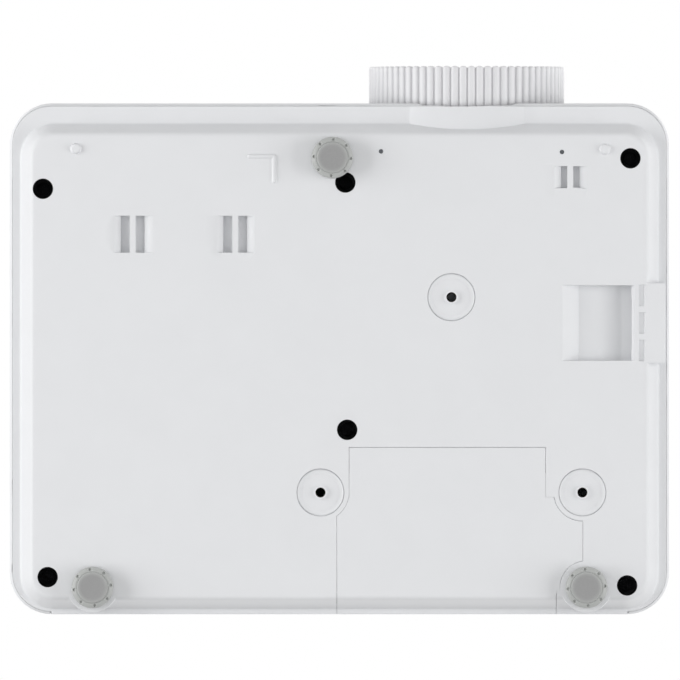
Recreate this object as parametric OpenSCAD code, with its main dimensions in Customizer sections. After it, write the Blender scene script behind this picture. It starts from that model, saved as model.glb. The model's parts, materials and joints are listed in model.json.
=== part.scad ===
// Projector with a built-in disc player, as the pieces that it comes apart into.
// Millimetres, +Z up, front towards -Y. The origin is the middle of the whole outline, on the
// surface that the three feet stand on.

/* [Case] */
// Width of the case, side to side
case_w = 316; // [310:1:330]
// Depth of the case, front wall to rear wall
case_d = 244.8; // [242:0.2:256]
// Height of the top above the surface that the feet stand on
case_h = 118; // [116:0.5:124]
// Radius of the upright corners
case_r = 20; // [16:0.5:24]
// Radius that rounds the top edge
top_r = 12; // [8:0.5:14]
// Radius that rounds the lower edge of the upper shell
edge_r = 2; // [1:0.1:2.3]
// Wall thickness of the moulded shells
wall = 2.5; // [2.2:0.1:2.8]
// Thickness of the upper shell's lip outside the seam
lip_out = 1.2; // [1:0.05:1.3]
// Gap that shows between two shells
seam_gap = 0.3; // [0.2:0.05:0.6]
// Clearance round a fixed piece that sits in an opening
fit_gap = 0.3; // [0.2:0.05:0.4]

/* [Underside] */
// Height of the underside above the surface
foot_h = 10; // [9:0.25:12]
// Step from the underside up to the flange round it
base_step = 11; // [9:0.25:12]
// Plan width of the sloping step
slope_run = 5; // [4:0.25:6]
// Width of the flange and seam at the two sides
side_margin = 5.3; // [5:0.1:8]
// Width of the flange and seam at the front
front_margin = 9.7; // [8.5:0.1:12]
// Width of the flange at the rear
rear_margin = 2.5; // [2.4:0.1:4]
// Corner radius at the foot of the step
base_r = 16; // [12:0.5:20]
// Radius where underside and step meet
edge_out_r = 2.5; // [1.5:0.1:3.5]
// Radius where step and flange meet
edge_in_r = 1.2; // [0.5:0.1:1.4]
// Radius of the swelling of the case under the lens
chin_r = 66; // [60:1:80]
// Drop of that swelling below the flange
chin_drop = 6.2; // [5.5:0.1:7]

/* [Screw wells] */
// Radius of a deep screw well
well_r = 4.9; // [4.5:0.1:5.2]
// Wall of the tube behind a screw well
tube_wall = 0.7; // [0.5:0.05:0.8]
// Front left well, from the left and front walls
well_front_left = [16, 41]; // [15:0.1:50]
// Front middle well, from the disc drive and the front wall
well_front_mid = [7.5, 38]; // [7:0.1:50]
// Front right well, from the right and front walls
well_front_right = [18.7, 26.4]; // [15:0.1:50]
// Rear middle well, from the middle line and the rear wall
well_rear_mid = [3.7, 88.4]; // [0:0.1:100]
// Rear left well, from the left and rear walls
well_rear_left = [18.3, 17.9]; // [15:0.1:30]
// Rear right well, from the right and rear walls
well_rear_right = [20.3, 13.9]; // [13.5:0.1:30]
// Height of the ledge under a screw head
ledge_z = 38; // [34:1:42]
// Thickness of that ledge
ledge_t = 3; // [2:0.5:4]
// Radius of a case screw's shank
screw_r = 1.5; // [1.25:0.05:1.75]
// Length of a case screw's shank
screw_len = 20; // [14:1:26]
// Radius of a case screw's head
screw_head_r = 3.2; // [2.8:0.1:4]
// Height of a case screw's head
screw_head_h = 2.4; // [1.8:0.1:3]

/* [Feet] */
// Front foot, from the middle line and the front wall
foot_front = [-3.4, 26.1]; // [-10:0.1:50]
// Rear feet, in from each side wall and from the rear wall
foot_rear = [39.8, 13]; // [12.7:0.1:46]
// Radius of a foot's rim
foot_r = 10; // [9:0.25:11]
// Radius of the rubber pad in a foot
pad_r = 7.5; // [6.5:0.25:8]
// Thickness of the rubber pad
pad_t = 3; // [2.5:0.1:4]
// Amount that the pad stands out of the rim
pad_out = 0.8; // [0.5:0.1:1.2]
// Gap over a foot's rim when it is screwed home
foot_home_gap = 0.6; // [0.4:0.05:1]
// Radius of a foot's screw thread
stud_r = 4; // [3.5:0.1:4.5]
// Length of a foot's screw thread above the underside
stud_len = 18; // [17:0.5:19]
// Running clearance of the thread in its nut
thread_gap = 0.05; // [0.03:0.01:0.09]
// Radius of a foot nut over its corners
foot_nut_r = 6.6; // [6.2:0.1:6.8]
// Height of a foot nut
foot_nut_h = 6; // [5:0.25:7]
// Radius of the round pad of the case above each rear foot
pedestal_r = 12.1; // [11:0.1:12.4]
// Number of finger notches in a foot's rim
foot_notches = 8; // [6:1:12]

/* [Ceiling mount] */
// Radius of a ceiling screw's thread
mount_r = 2; // [1.5:0.25:2.5]
// Depth of the threaded insert
mount_len = 8; // [6:0.5:10]
// Radius of the threaded insert
insert_r = 3.4; // [3:0.1:3.8]
// Radius of the moulded boss round an insert
boss_r = 6; // [5:0.25:7]
// Radius of the shallow recess round a ceiling screw hole
recess_r = 11.4; // [10:0.1:12]
// Depth of that recess
recess_t = 1; // [0.6:0.1:1.4]
// Thickness of the plastic over a threaded insert
insert_cover = 0.8; // [0.6:0.1:1.2]
// Clearance round a ceiling screw in that plastic
mount_clear = 0.4; // [0.3:0.05:0.6]
// Front screw hole, back from the front wall on the lens line
mount_front = 92.9; // [85:0.1:100]
// Rear pair, behind the front screw hole
mount_back = 93.5; // [85:0.1:95]
// Spacing of the rear pair
mount_span = 125.4; // [118:0.5:128]
// Pattern's middle line, left of the lens axis
mount_shift = 7.6; // [7:0.1:9]

/* [Tie bridges and cable pocket] */
// Left tie bridge, from the left and front walls
bridge_left = [59, 53.9]; // [52:0.1:60]
// Middle tie bridge, left of the middle line and from the front wall
bridge_mid = [49.9, 53.9]; // [40:0.1:60]
// Small tie bridge, from the right and front walls
bridge_small = [47.5, 30.2]; // [30:0.1:60]
// Length of a tie pocket across its bar
bridge_w = 18.5; // [17:0.1:20]
// Width of a tie pocket along its bar
bridge_l = 17.7; // [16:0.1:20]
// Length of the small pocket across its bar
small_w = 15.9; // [14:0.1:17]
// Width of the small pocket along its bar
small_l = 10.5; // [9:0.1:12]
// Width of a tie bridge's bar
bar_w = 2.8; // [2:0.1:3.5]
// Thickness of a tie bridge's bar
bar_t = 2.2; // [1.6:0.1:2.6]
// Depth of a tie pocket
bridge_t = 5.5; // [5:0.1:5.9]
// Plan length of each ramp of a pocket
ramp_w = 3.6; // [3:0.1:4.5]
// Depth of each ramp
ramp_t = 2.2; // [1.8:0.1:2.8]
// Cable pocket's left and front edges, from the right and front walls
cable_pocket = [51.4, 87.2]; // [45:0.1:95]
// Length of the cable pocket, from its left edge to the bar
cable_w = 34.7; // [32:0.1:36]
// Width of the cable pocket from front to rear
cable_l = 36.1; // [33:0.1:38]
// Depth of the cable pocket
cable_t = 8.6; // [8:0.1:9]
// Thickness of that bar
cable_bar_t = 3; // [2.5:0.1:3.5]
// Depth of the three shallow slots in that bar
slot_t = 0.8; // [0.5:0.1:1.2]
// Side block's face, from the side wall
side_block_in = 2.1; // [1.9:0.1:3]

/* [Lamp door] */
// Left edge of the lamp door, from the middle line
door_left = 4.8; // [3.5:0.1:6]
// Right edge of the door's front part, from the right wall
door_right_in = 59.5; // [58:0.1:63]
// Front edge of the lamp door, from the rear wall
door_front = 79.8; // [79:0.1:81]
// Gap round the lamp door
door_gap = 0.25; // [0.2:0.05:0.5]
// Radius that the door leaves round a ceiling screw recess
door_bite_r = 13.9; // [13:0.1:14.5]
// Left edge of the door's rear part, left of the middle line
door_rear_left = 1.1; // [0:0.1:2]
// Right edge of the door beside the foot, from the right wall
door_foot_in = 54.3; // [54:0.1:57]

/* [Small features of the underside] */
// Corner of the L-shaped rib, left of the middle line and from the front wall
rib_corner = [30.3, 24.5]; // [20:0.1:40]
// Length of the rib's arm that runs left
rib_arm_x = 13.7; // [12:0.1:15]
// Length of the rib's arm that runs back
rib_arm_y = 13.7; // [12:0.1:15]
// Width of the rib
rib_w = 1.9; // [1.4:0.1:2.4]
// Height of the rib
rib_h = 0.9; // [0.6:0.1:1.3]
// Radius of the two domed pegs
peg_r = 2.65; // [2.2:0.05:3]
// Height of the pegs
peg_h = 1.3; // [1:0.1:2]
// Left peg, from the left and front walls
peg_left = [31.8, 21.8]; // [21:0.1:40]
// Right peg, from the right and front walls
peg_right = [30.9, 22.1]; // [21:0.1:40]
// Left small screw, from the middle line and the front wall
tiny_left = [19.9, 23.1]; // [15:0.1:30]
// Right small screw, from the right and front walls
tiny_right = [51.5, 23.4]; // [22:0.1:60]
// Radius of a small screw's head
tiny_r = 1.1; // [0.9:0.05:1.4]

/* [Lens] */
// Lens axis, right of the middle line
lens_x = 61.2; // [60:0.1:64]
// Height of the lens axis
lens_z = 66; // [65:0.5:67]
// Outer radius of the focus ring
ring_r = 47; // [45.5:0.25:47.5]
// Length of the focus ring outside the front wall
ring_out = 18; // [14:0.5:24]
// Length of the focus ring inside the front wall
ring_in = 9; // [6:0.5:9.5]
// Gap round the focus ring in the front wall
ring_gap = 2.2; // [1.8:0.1:2.4]
// Wall of the collar round the focus ring
collar_t = 2.2; // [1.8:0.1:2.4]
// Depth of that collar behind the front wall
collar_d = 12; // [11:0.5:14]
// Thickness of the focus ring's outer wall
ring_wall = 3.5; // [3:0.1:4.5]
// Number of grip flutes round the focus ring
ring_flutes = 72; // [60:1:80]
// Radius of a grip flute
flute_r = 1.1; // [0.8:0.1:1.4]
// Outer radius of the lens barrel
barrel_r = 36; // [34:0.25:37]
// Wall of the lens barrel
barrel_wall = 2.2; // [1.8:0.1:3]
// Lens barrel's front end, behind the front wall
barrel_in = 2; // [1:0.25:4]
// Running clearance between the rings and the barrel
ring_run = 0.3; // [0.25:0.05:0.4]
// Length of the focusing lens cell
cell_len = 20; // [16:0.5:24]
// Wall of the focusing lens cell
cell_wall = 2.6; // [2:0.1:3.5]
// Travel of the focusing lens cell
focus_travel = 3; // [2:0.25:4]
// Thickness of the front lens at its middle
glass_t = 11; // [9:0.5:13]
// Thickness of the front lens at its edge
glass_edge = 4; // [3:0.25:5]
// Width of the zoom ring along the axis
zoom_w = 12; // [10:0.5:13]
// Zoom ring, behind the front wall
zoom_in = 32; // [30:0.5:34]
// Radial thickness of the zoom ring
zoom_t = 3.2; // [2.5:0.1:4]
// Width of the zoom lever
lever_w = 7; // [5:0.5:9]
// Depth of the zoom lever's tip below the top
lever_low = 1; // [0.5:0.25:2]
// Half width of the zoom window in the top
window_w = 24; // [22:0.5:26]
// Space in front of and behind the zoom ring in its window
window_gap = 5; // [4:0.25:6]
// Radius at the window's corners
window_r = 5; // [3:0.5:7]

/* [Light path] */
// Front face of the optical engine, from the front wall
engine_front = 75.4; // [74:0.2:77]
// Depth of the optical engine
engine_d = 72; // [66:0.5:74]
// Width of the optical engine
engine_w = 90; // [84:0.5:92]
// Optical engine's middle, left of the lens axis
engine_shift = 3; // [2:0.25:4]
// Height of the optical engine's underside
engine_z = 28; // [26:0.5:30]
// Height of the optical engine's body
engine_h = 72; // [66:0.5:76]
// Wall of the optical engine
engine_wall = 3; // [2:0.25:4]
// Thickness of a circuit board
board_t = 1.6; // [1.2:0.1:2]
// Width of the imaging chip's board
chip_board_w = 38; // [34:0.5:42]
// Height of the imaging chip's board
chip_board_h = 56; // [50:0.5:60]
// Depth of the heat sink behind the imaging chip
sink_d = 14; // [10:0.5:16]
// Thickness of a fin of that heat sink
fin_t = 1.2; // [0.8:0.1:1.6]
// Number of fins of that heat sink
fins = 8; // [6:1:10]
// Radius of the colour wheel
wheel_r = 20; // [18:0.25:21]
// Thickness of the colour wheel's glass
wheel_t = 1.2; // [0.8:0.1:1.6]
// Radius of the colour wheel's motor
motor_r = 9; // [7:0.25:11]
// Length of the colour wheel's motor
motor_l = 9; // [7:0.25:10]
// Radius of the motor's shaft
shaft_r = 1.5; // [1:0.1:2]
// Colour wheel's axis, right of the optical engine's middle
wheel_right = 22; // [20:0.5:24]
// Height of the colour wheel's axis above the lamp's axis
wheel_up = 16; // [14:0.5:18]

/* [Lamp] */
// Width of the lamp housing
lamp_w = 88; // [80:0.5:90]
// Depth of the lamp housing
lamp_d = 64; // [58:0.5:66]
// Height of the lamp housing
lamp_h = 64; // [60:0.5:68]
// Lamp housing, above the inside of the door
lamp_up = 3; // [2:0.25:5]
// Gap between lamp housing and rear wall
lamp_rear_gap = 8; // [6:0.5:10]
// Wall of the lamp housing
lamp_wall = 2; // [1.5:0.1:3]
// Radius of the lamp reflector's rim
reflector_r = 26; // [22:0.5:28]
// Depth of the lamp reflector
reflector_d = 34; // [30:0.5:38]
// Wall of the lamp reflector
reflector_t = 2.4; // [2:0.1:3]
// Lamp's axis, right of the lamp housing's middle
lamp_shift = 12; // [10:0.5:13]

/* [Cooling and sound] */
// Side length of the exhaust fan's frame
fan_w = 70; // [66:0.5:72]
// Thickness of the exhaust fan
fan_t = 20; // [16:0.5:22]
// Radius of the exhaust fan's bore
fan_bore_r = 33.5; // [31:0.25:34.5]
// Wall of the fan's frame at its corners, round the bore
fan_tip_gap = 1; // [0.6:0.1:2]
// Radius of the fan's hub
hub_r = 15; // [12:0.5:18]
// Number of fan blades
fan_blades = 7; // [5:1:9]
// Middle of the fan, in front of the rear wall
fan_y_in = 59; // [58:0.5:64]
// Height of the fan's middle
fan_z = 65; // [64:0.5:68]
// Length of the exhaust grille
exhaust_l = 84; // [74:1:90]
// Height of a side grille
grille_h = 62; // [50:1:64]
// Length of the intake grille
intake_l = 96; // [80:1:100]
// Middle of the intake grille, in front of the rear wall
intake_y_in = 62; // [58:1:64]
// Height of the slots in a grille
slot_h = 3; // [2.4:0.1:3.4]
// Depth of a grille's face below the wall round it
grille_in = 0.4; // [0.2:0.05:0.8]
// Pitch of the slots in a grille
slot_pitch = 6; // [5:0.25:7]
// Width of the loudspeaker
speaker_w = 44; // [40:0.5:48]
// Depth of the loudspeaker
speaker_d = 16; // [12:0.5:20]
// Radius of the loudspeaker's cone
cone_r = 18; // [15:0.5:19]

/* [Front] */
// Width of the front grille
front_grille_w = 112; // [100:1:118]
// Height of the front grille
front_grille_h = 36; // [30:1:40]
// Height of the front grille's middle
front_grille_z = 82; // [78:1:84]
// Width of the remote control window
ir_w = 16; // [12:0.5:18]
// Height of the remote control window
ir_h = 9; // [7:0.5:12]
// Height of the remote control window's middle
ir_z = 96; // [92:0.5:97]
// Remote control window, left of the lens axis
ir_left = 61.2; // [60:0.1:64]

/* [Disc drive] */
// Width of the disc drive
drive_w = 128; // [127:0.25:129]
// Depth of the disc drive behind the front wall
drive_d = 127; // [126.5:0.5:130]
// Height of the disc drive
drive_h = 12.7; // [12.2:0.1:13.5]
// Height of the drive's underside
drive_z = 34; // [32.5:0.25:35]
// Left side of the drive, from the left wall
drive_in = 25.3; // [24.8:0.1:25.8]
// Thickness of the drive's sheet steel
sheet_t = 0.8; // [0.6:0.1:1]
// Radius of the recess that holds a disc
disc_r = 60.3; // [60:0.1:60.5]
// Depth of that recess
disc_t = 1.6; // [1.2:0.1:1.8]
// Length of the disc tray
tray_len = 122; // [121.5:0.25:123]
// Thickness of the disc tray's floor
tray_floor = 1.4; // [1:0.1:1.6]
// Width of a telescopic rail
rail_w = 1.6; // [1.3:0.1:1.8]
// Height of a telescopic rail
rail_h = 5; // [4:0.25:6]
// Running clearance of tray and rails
slide_gap = 0.3; // [0.25:0.05:0.35]
// Amount that the tray's front bezel passes the drive's sides
bezel_side = 1; // [0.8:0.1:1.5]
// Height of the tray's front bezel
bezel_h = 14; // [13.5:0.25:15]
// Thickness of the tray's front bezel
bezel_t = 3; // [2.9:0.1:4]
// Gap round the bezel in the front wall
bezel_gap = 0.6; // [0.4:0.05:0.8]
// Radius of the clamping hub
hub_clamp_r = 7.4; // [7.2:0.05:7.5]
// Radius of the spindle's shaft
spindle_r = 1.5; // [1.2:0.1:2]
// Radius of a guide rod
rod_r = 1; // [0.8:0.05:1.2]
// Guide rods, from the spindle's line
rod_off = 14; // [13:0.25:14.5]
// Turn of the pickup's path from the drive's width
mech_turn = 45; // [43:0.5:47]
// Radius of the lead screw
lead_r = 1.2; // [1:0.05:1.4]
// Lead screw, from the spindle's line
lead_off = 10.5; // [10:0.25:11]
// Nearest place of the pickup's middle, from the spindle's axis
sled_near = 23; // [22:0.5:24]
// Travel of the pickup
sled_travel = 34; // [30:0.5:35]
// Length of the pickup's sled
sled_l = 12; // [10:0.5:13]
// Width of the eject button
eject_w = 9; // [7:0.5:11]
// Height of the eject button
eject_h = 4; // [3:0.25:5]
// Travel of the eject button
eject_travel = 1.2; // [0.8:0.1:1.5]
// Eject button, from the bezel's right end
eject_in = 15; // [11:0.5:20]

/* [Keypad] */
// Middle of the keypad, left of the middle line
keypad_left = 62; // [58:0.5:66]
// Middle of the keypad, in front of the rear wall
keypad_in = 60; // [56:0.5:66]
// Radius of the power button
power_r = 7; // [6:0.25:8]
// Radius of the enter button
enter_r = 6; // [5:0.25:6.5]
// Outer radius of the ring of four arrow buttons
arrow_r = 17; // [15:0.25:18]
// Gap between neighbouring keys
key_gap = 1.2; // [1:0.1:1.6]
// Length of the menu and source buttons
key_l = 14; // [12:0.5:16]
// Width of the menu and source buttons
key_w = 6; // [5:0.25:7]
// Menu and source buttons, from the keypad's middle
key_off = 31; // [29:0.5:34]
// Height that a button stands above the top
key_up = 0.8; // [0.5:0.1:1.2]
// Travel of a button
key_travel = 0.6; // [0.4:0.05:0.7]
// Clearance of a button in its hole
key_run = 0.3; // [0.25:0.05:0.4]
// Thickness of a button's flange under the top
key_flange = 1; // [0.8:0.1:1.4]

/* [Electronics] */
// Height of the main board's underside
main_z = 58; // [56:0.5:60]
// Front edge of the main board, from the front wall
main_front = 56; // [54:0.5:60]
// Gap between the main board and the side wall's inside
main_side = 12; // [11:0.5:14]
// Right edge of the main board, right of the middle line
main_right = 2; // [1:0.25:4]
// Height of the power board's underside
power_z = 20; // [18:0.5:22]
// Width of the power board
power_w = 108; // [100:1:110]
// Depth of the power board
power_d = 76; // [70:1:80]
// Height of the parts on the power board
power_h = 30; // [24:0.5:32]
// Video socket, width
video_w = 31; // [29:0.5:33]
// Video socket, height
video_h = 12.6; // [11:0.2:14]
// Digital socket, width
digital_w = 16; // [15:0.5:18]
// Digital socket, height
digital_h = 7; // [6.6:0.1:9]
// Service socket, side length
service_w = 12; // [10:0.5:13]
// Wall of a socket's metal shell
shell_t = 0.8; // [0.6:0.1:1]
// Depth of a socket's shell
shell_d = 12; // [10:0.5:14]
// Radius of a round phono socket
phono_r = 4.4; // [4:0.1:4.8]
// Radius of a phono socket's hole
phono_bore_r = 1.65; // [1.6:0.05:1.8]
// Pitch of the phono sockets
phono_pitch = 14; // [12:0.5:15]
// Middle of the sockets, above the main board
socket_up = 7; // [6.8:0.1:8]
// Video, digital, service and first phono socket, from the left wall
socket_x = [46, 76, 98, 114]; // [40:0.5:120]
// Width of the mains inlet
inlet_w = 27; // [25:0.5:29]
// Height of the mains inlet
inlet_h = 19.6; // [18:0.2:21]
// Depth of the mains inlet
inlet_d = 22; // [18:0.5:24]
// Wall of the mains inlet
inlet_wall = 2; // [1.5:0.1:2.4]
// Mains inlet's middle, from the left wall
inlet_x = 44; // [42:0.5:50]
// Height of the mains inlet's middle
inlet_z = 41; // [40:0.5:43]

/* [Chassis] */
// Thickness of the chassis plate
plate_t = 1.5; // [1.2:0.1:2]
// Chassis plate's edge, from the side walls
plate_in = 17; // [16.5:0.1:18]
// Width of a square support post
post_w = 7; // [5:0.5:8]
// Clearance of the chassis plate round bosses and pockets
plate_gap = 1; // [0.6:0.1:1.5]

/* [Hidden] */
$fn = 64;

// Overlap that joins solids or lets a cut pass a face
over = 0.5;

// Walls and levels of the case
left_x = -case_w / 2;
right_x = case_w / 2;
front_y = (ring_out - case_d) / 2;
rear_y = (ring_out + case_d) / 2;
under_z = foot_h;
floor_z = foot_h + wall;
flange_z = foot_h + base_step;
shelf_z = flange_z + wall;
seam_z = flange_z + seam_gap;
rest_z = shelf_z + fit_gap;
ceiling_z = case_h - wall;
top_in_r = top_r - wall - 1;
slope_a = atan2(base_step, slope_run);

// Places on the underside
drive_x = left_x + drive_in + drive_w / 2;
wells = [
  [left_x + well_front_left[0], front_y + well_front_left[1]],
  [drive_x + drive_w / 2 + well_front_mid[0], front_y + well_front_mid[1]],
  [right_x - well_front_right[0], front_y + well_front_right[1]],
  [well_rear_mid[0], rear_y - well_rear_mid[1]],
  [left_x + well_rear_left[0], rear_y - well_rear_left[1]],
  [right_x - well_rear_right[0], rear_y - well_rear_right[1]]
];
front_foot = [foot_front[0], front_y + foot_front[1]];
left_foot = [left_x + foot_rear[0], rear_y - foot_rear[1]];
right_foot = [right_x - foot_rear[0], rear_y - foot_rear[1]];
insert_z = under_z + recess_t + insert_cover;
mount_x = lens_x - mount_shift;
mount_y = front_y + mount_front;
mounts = [
  [mount_x, mount_y],
  [mount_x - mount_span / 2, mount_y + mount_back],
  [mount_x + mount_span / 2, mount_y + mount_back]
];

// Lens
opening_r = ring_r + ring_gap;
ring_bore_r = barrel_r + ring_run;
cell_r = barrel_r - barrel_wall - ring_run;
glass_r = cell_r - cell_wall;
barrel_y = front_y + barrel_in;
engine_y = front_y + engine_front;
engine_x = lens_x - engine_shift;
zoom_y = front_y + zoom_in;
zoom_r = ring_bore_r + zoom_t;
lever_top = case_h - lever_low - lens_z;

// Light path
engine_back = engine_y + engine_d;
lamp_x = engine_x - engine_shift;
lamp_back = rear_y - wall - lamp_rear_gap;
lamp_front = lamp_back - lamp_d;
lamp_z = floor_z + lamp_up;
beam_x = lamp_x + lamp_shift;
beam_z = lamp_z + lamp_h / 2;
vent_l = 8;
vent_pitch = 12;
rear_grille_w = 7 * vent_pitch;
rear_grille_h = 6 * slot_pitch;
wheel_x = engine_x + wheel_right;
wheel_z = beam_z + wheel_up;
chip_x = engine_x - engine_w / 2 + chip_board_w / 2 + engine_wall;
chip_z = engine_z + engine_h / 2;
fan_x = right_x - wall - over - fan_t;
fan_y = rear_y - fan_y_in;
intake_y = rear_y - intake_y_in;

// Disc drive
drive_front = front_y + bezel_t + fit_gap;
drive_back = front_y + drive_d;
tray_half = drive_w / 2 - sheet_t - rail_w - 2 * slide_gap;
tray_front = front_y + bezel_t;
tray_z = drive_z + sheet_t + slide_gap;
tray_top = drive_z + drive_h - sheet_t - 1.4;
tray_y = tray_front + tray_len / 2;
deck_z = tray_top - disc_t;
mech_top = deck_z - tray_floor;
bezel_w = drive_w + 2 * bezel_side;
bezel_z = drive_z + (drive_h - bezel_h) / 2;
eject_right = bezel_w / 2 - eject_in;
rail_z = drive_z + (drive_h - rail_h) / 2;
sled_z = mech_top - 3.1;
rod_near = hub_clamp_r + 3;
rod_far = sled_near + sled_travel + sled_l / 2 + 1;
slot_half = 6;
holder_t = 2.5;

// Keypad
keypad_x = -keypad_left;
keypad_y = rear_y - keypad_in;
flange_top = ceiling_z - 0.1;
pad_board_z = flange_top - key_flange - key_travel - 0.6 - board_t;

// Electronics
main_left = left_x + wall + main_side;
main_y = front_y + main_front;
main_back = rear_y - wall - 2;
socket_z = main_z + board_t + socket_up;
power_x = left_x + 27;
power_y = left_foot[1] - pedestal_r - 2 - power_d;
post_r = screw_r + 2.5;

// Shared shapes

// Points along an arc about c, from angle a0 to a1 in n steps
function arc(c, r, a0, a1, n) =
  [for (i = [0 : n]) c + r * [cos(a0 + (a1 - a0) * i / n), sin(a0 + (a1 - a0) * i / n)]];

// The same list from its last point to its first
function backwards(list) = [for (i = [len(list) - 1 : -1 : 0]) list[i]];

// Solid with a round-cornered plan: side lists each level's [inset, height], upwards
module tub(x0, x1, y0, y1, r, side) {
  last = len(side) - 1;
  corner = concat([[0, side[0][1]]], [for (p = side) [r - p[0], p[1]]], [[0, side[last][1]]]);
  for (x = [x0 + r, x1 - r], y = [y0 + r, y1 - r])
    translate([x, y, 0]) rotate_extrude() polygon(corner);
  translate([x0 + r, 0, 0]) rotate([90, 0, 90]) linear_extrude(x1 - x0 - 2 * r)
    polygon(concat([for (p = side) [y0 + p[0], p[1]]],
           [for (p = backwards(side)) [y1 - p[0], p[1]]]));
  translate([0, y1 - r, 0]) rotate([90, 0, 0]) linear_extrude(y1 - y0 - 2 * r)
    polygon(concat([for (p = side) [x0 + p[0], p[1]]],
           [for (p = backwards(side)) [x1 - p[0], p[1]]]));
}

// Box between two corners
module block(low, high) {
  translate(low) cube(high - low);
}

// What follows, moved to a place in plan and a height
module at(p, z) {
  translate([p[0], p[1], z]) children();
}

// Plan of a rectangle with round corners, about its middle
module round_rect(w, h, r) {
  square([w - 2 * r, h], center = true);
  square([w, h - 2 * r], center = true);
  for (x = [-1, 1], y = [-1, 1])
    translate([x * (w / 2 - r), y * (h / 2 - r)]) circle(r);
}

// Cylinder along +Y, starting at y on the axis (x, z)
module rod_y(x, y, z, r, len) {
  translate([x, y, z]) rotate([-90, 0, 0]) cylinder(r = r, h = len);
}

// The same on the lens axis
module lens_rod(y, r, len) {
  rod_y(lens_x, y, lens_z, r, len);
}

// Cylinder along +X, starting at (x, y, z)
module rod_x(x, y, z, r, len) {
  translate([x, y, z]) rotate([0, 90, 0]) cylinder(r = r, h = len);
}

// Solid turned about the Y axis through (x, z): profile gives [radius, y]
module turned_y(x, z, profile) {
  translate([x, 0, z]) rotate([-90, 0, 0]) rotate_extrude() polygon(profile);
}

// Slotted plate: w along X, h along Y, t thick
module louvre_plate(w, h, t) {
  rows = floor((h - slot_pitch) / slot_pitch);
  difference() {
    linear_extrude(t) round_rect(w, h, slot_h);
    for (i = [0 : rows - 1], side = [-1, 1])
      translate([side * w / 4, (i - (rows - 1) / 2) * slot_pitch, -over])
        linear_extrude(t + 2 * over)
          round_rect(w / 2 - 2 * slot_h, slot_h, slot_h / 2 - 0.01);
  }
}

// Shells

// Side of the stepped underside: round edge, slope and round corner
function step_side(level, rim) =
  let (out_t = edge_out_r * tan(slope_a / 2), in_t = edge_in_r * tan(slope_a / 2))
  concat(arc([slope_run + out_t, level + edge_out_r], edge_out_r, 270, 270 - slope_a, 5),
     arc([-in_t, level + base_step - edge_in_r], edge_in_r, 90 - slope_a, 90, 3),
     [[-in_t, level + base_step + rim]]);

// Stepped body below the flange, drawn in by inset, with its lowest face at level
module step_body(inset, level, rim) {
  tub(left_x + side_margin + inset, right_x - side_margin - inset,
    front_y + front_margin + inset, rear_y - rear_margin - inset,
    base_r - inset, step_side(level, rim));
}

// Swelling of the case round the lens opening, between two places along Y
module chin(y0, y1, top) {
  intersection() {
    rod_y(lens_x, y0, flange_z - chin_drop + chin_r, chin_r, y1 - y0);
    block([lens_x - chin_r, y0 - over, 0], [lens_x + chin_r, y1 + over, top]);
  }
}

// Outside of the lower shell, as one solid
module lower_outside() {
  step_body(0, under_z, wall);
  translate([0, 0, flange_z]) linear_extrude(wall) {
    seam_in = lip_out + seam_gap;
    translate([0, (front_y + rear_y) / 2])
      round_rect(case_w - 2 * seam_in, case_d - 2 * seam_in, case_r - seam_in);
    translate([left_x + case_r, rear_y - case_r])
      square([case_w - 2 * case_r, case_r]);
  }
  chin(front_y + lip_out + seam_gap, front_y + front_margin + slope_run, shelf_z);
  for (p = [left_foot, right_foot])
    at(p, under_z) cylinder(r = pedestal_r, h = shelf_z - under_z);
  cable_block(under_z, side_block_in);
}

// Solid round the cable pocket, up to a face near the side wall
module cable_block(low, from_wall) {
  x0 = right_x - cable_pocket[0];
  y0 = front_y + cable_pocket[1];
  block([x0 + cable_w / 2, y0 - 1, low], [right_x - from_wall, y0 + cable_l + 1, shelf_z]);
}

// Plan of the lamp door, grown by g all round
module door_plan(g) {
  difference() {
    union() {
      translate([door_left - g, rear_y - door_front - g])
        square([right_x - door_right_in - door_left + 2 * g, door_front + 2 * g + 1]);
      translate([-door_rear_left - g, mounts[1][1] + 2.4 - g])
        square([mounts[2][0] + door_rear_left + 2 * g, rear_y - mounts[1][1]]);
    }
    for (i = [1, 2]) translate(mounts[i]) circle(door_bite_r - g);
    translate(right_foot) circle(pedestal_r + door_gap + 0.6 - g);
    translate([right_x - door_foot_in + g, right_foot[1] + 1.4])
      square([door_foot_in, 2 * foot_rear[1]]);
  }
}

// Solid of the lamp door, grown by g all round
module door_solid(g) {
  translate([0, 0, under_z - 1]) linear_extrude(base_step + wall + 2) door_plan(g);
}

// Ledge over the lamp door's edge
module door_ledge() {
  intersection() {
    difference() {
      at([0, 0], floor_z - 1) linear_extrude(ledge_up + 1) door_plan(door_gap + ledge_w);
      at([0, 0], floor_z - 1 - over) linear_extrude(1 + over + fit_gap) door_plan(door_gap);
      at([0, 0], floor_z) linear_extrude(ledge_up + over) door_plan(-ledge_w);
    }
    block([left_x, rear_y - door_front - wall, under_z], [right_x,
       rear_y - rear_margin - slope_run - wall, shelf_z]);
  }
}
ledge_w = 1.6;
ledge_up = 1.6;

// Hollow inside of the lower shell
module lower_inside() {
  wall_in = wall * tan(slope_a / 2);
  step_body(wall_in, floor_z, over);
  lens_rod(front_y - over, opening_r, front_margin);
}

// Pocket with two ramps and a bar across its middle
module bridge_pocket(x, y, w, l) {
  inner = w / 2 - ramp_w;
  translate([x, y + l / 2, under_z]) rotate([90, 0, 0]) linear_extrude(l)
    difference() {
      polygon([[-w / 2, -over], [-w / 2, 0], [-inner, ramp_t], [-inner, bridge_t],
          [inner, bridge_t], [inner, ramp_t], [w / 2, 0], [w / 2, -over]]);
      translate([-bar_w / 2, -2 * over]) square([bar_w, bar_t + 2 * over]);
    }
}

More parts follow.
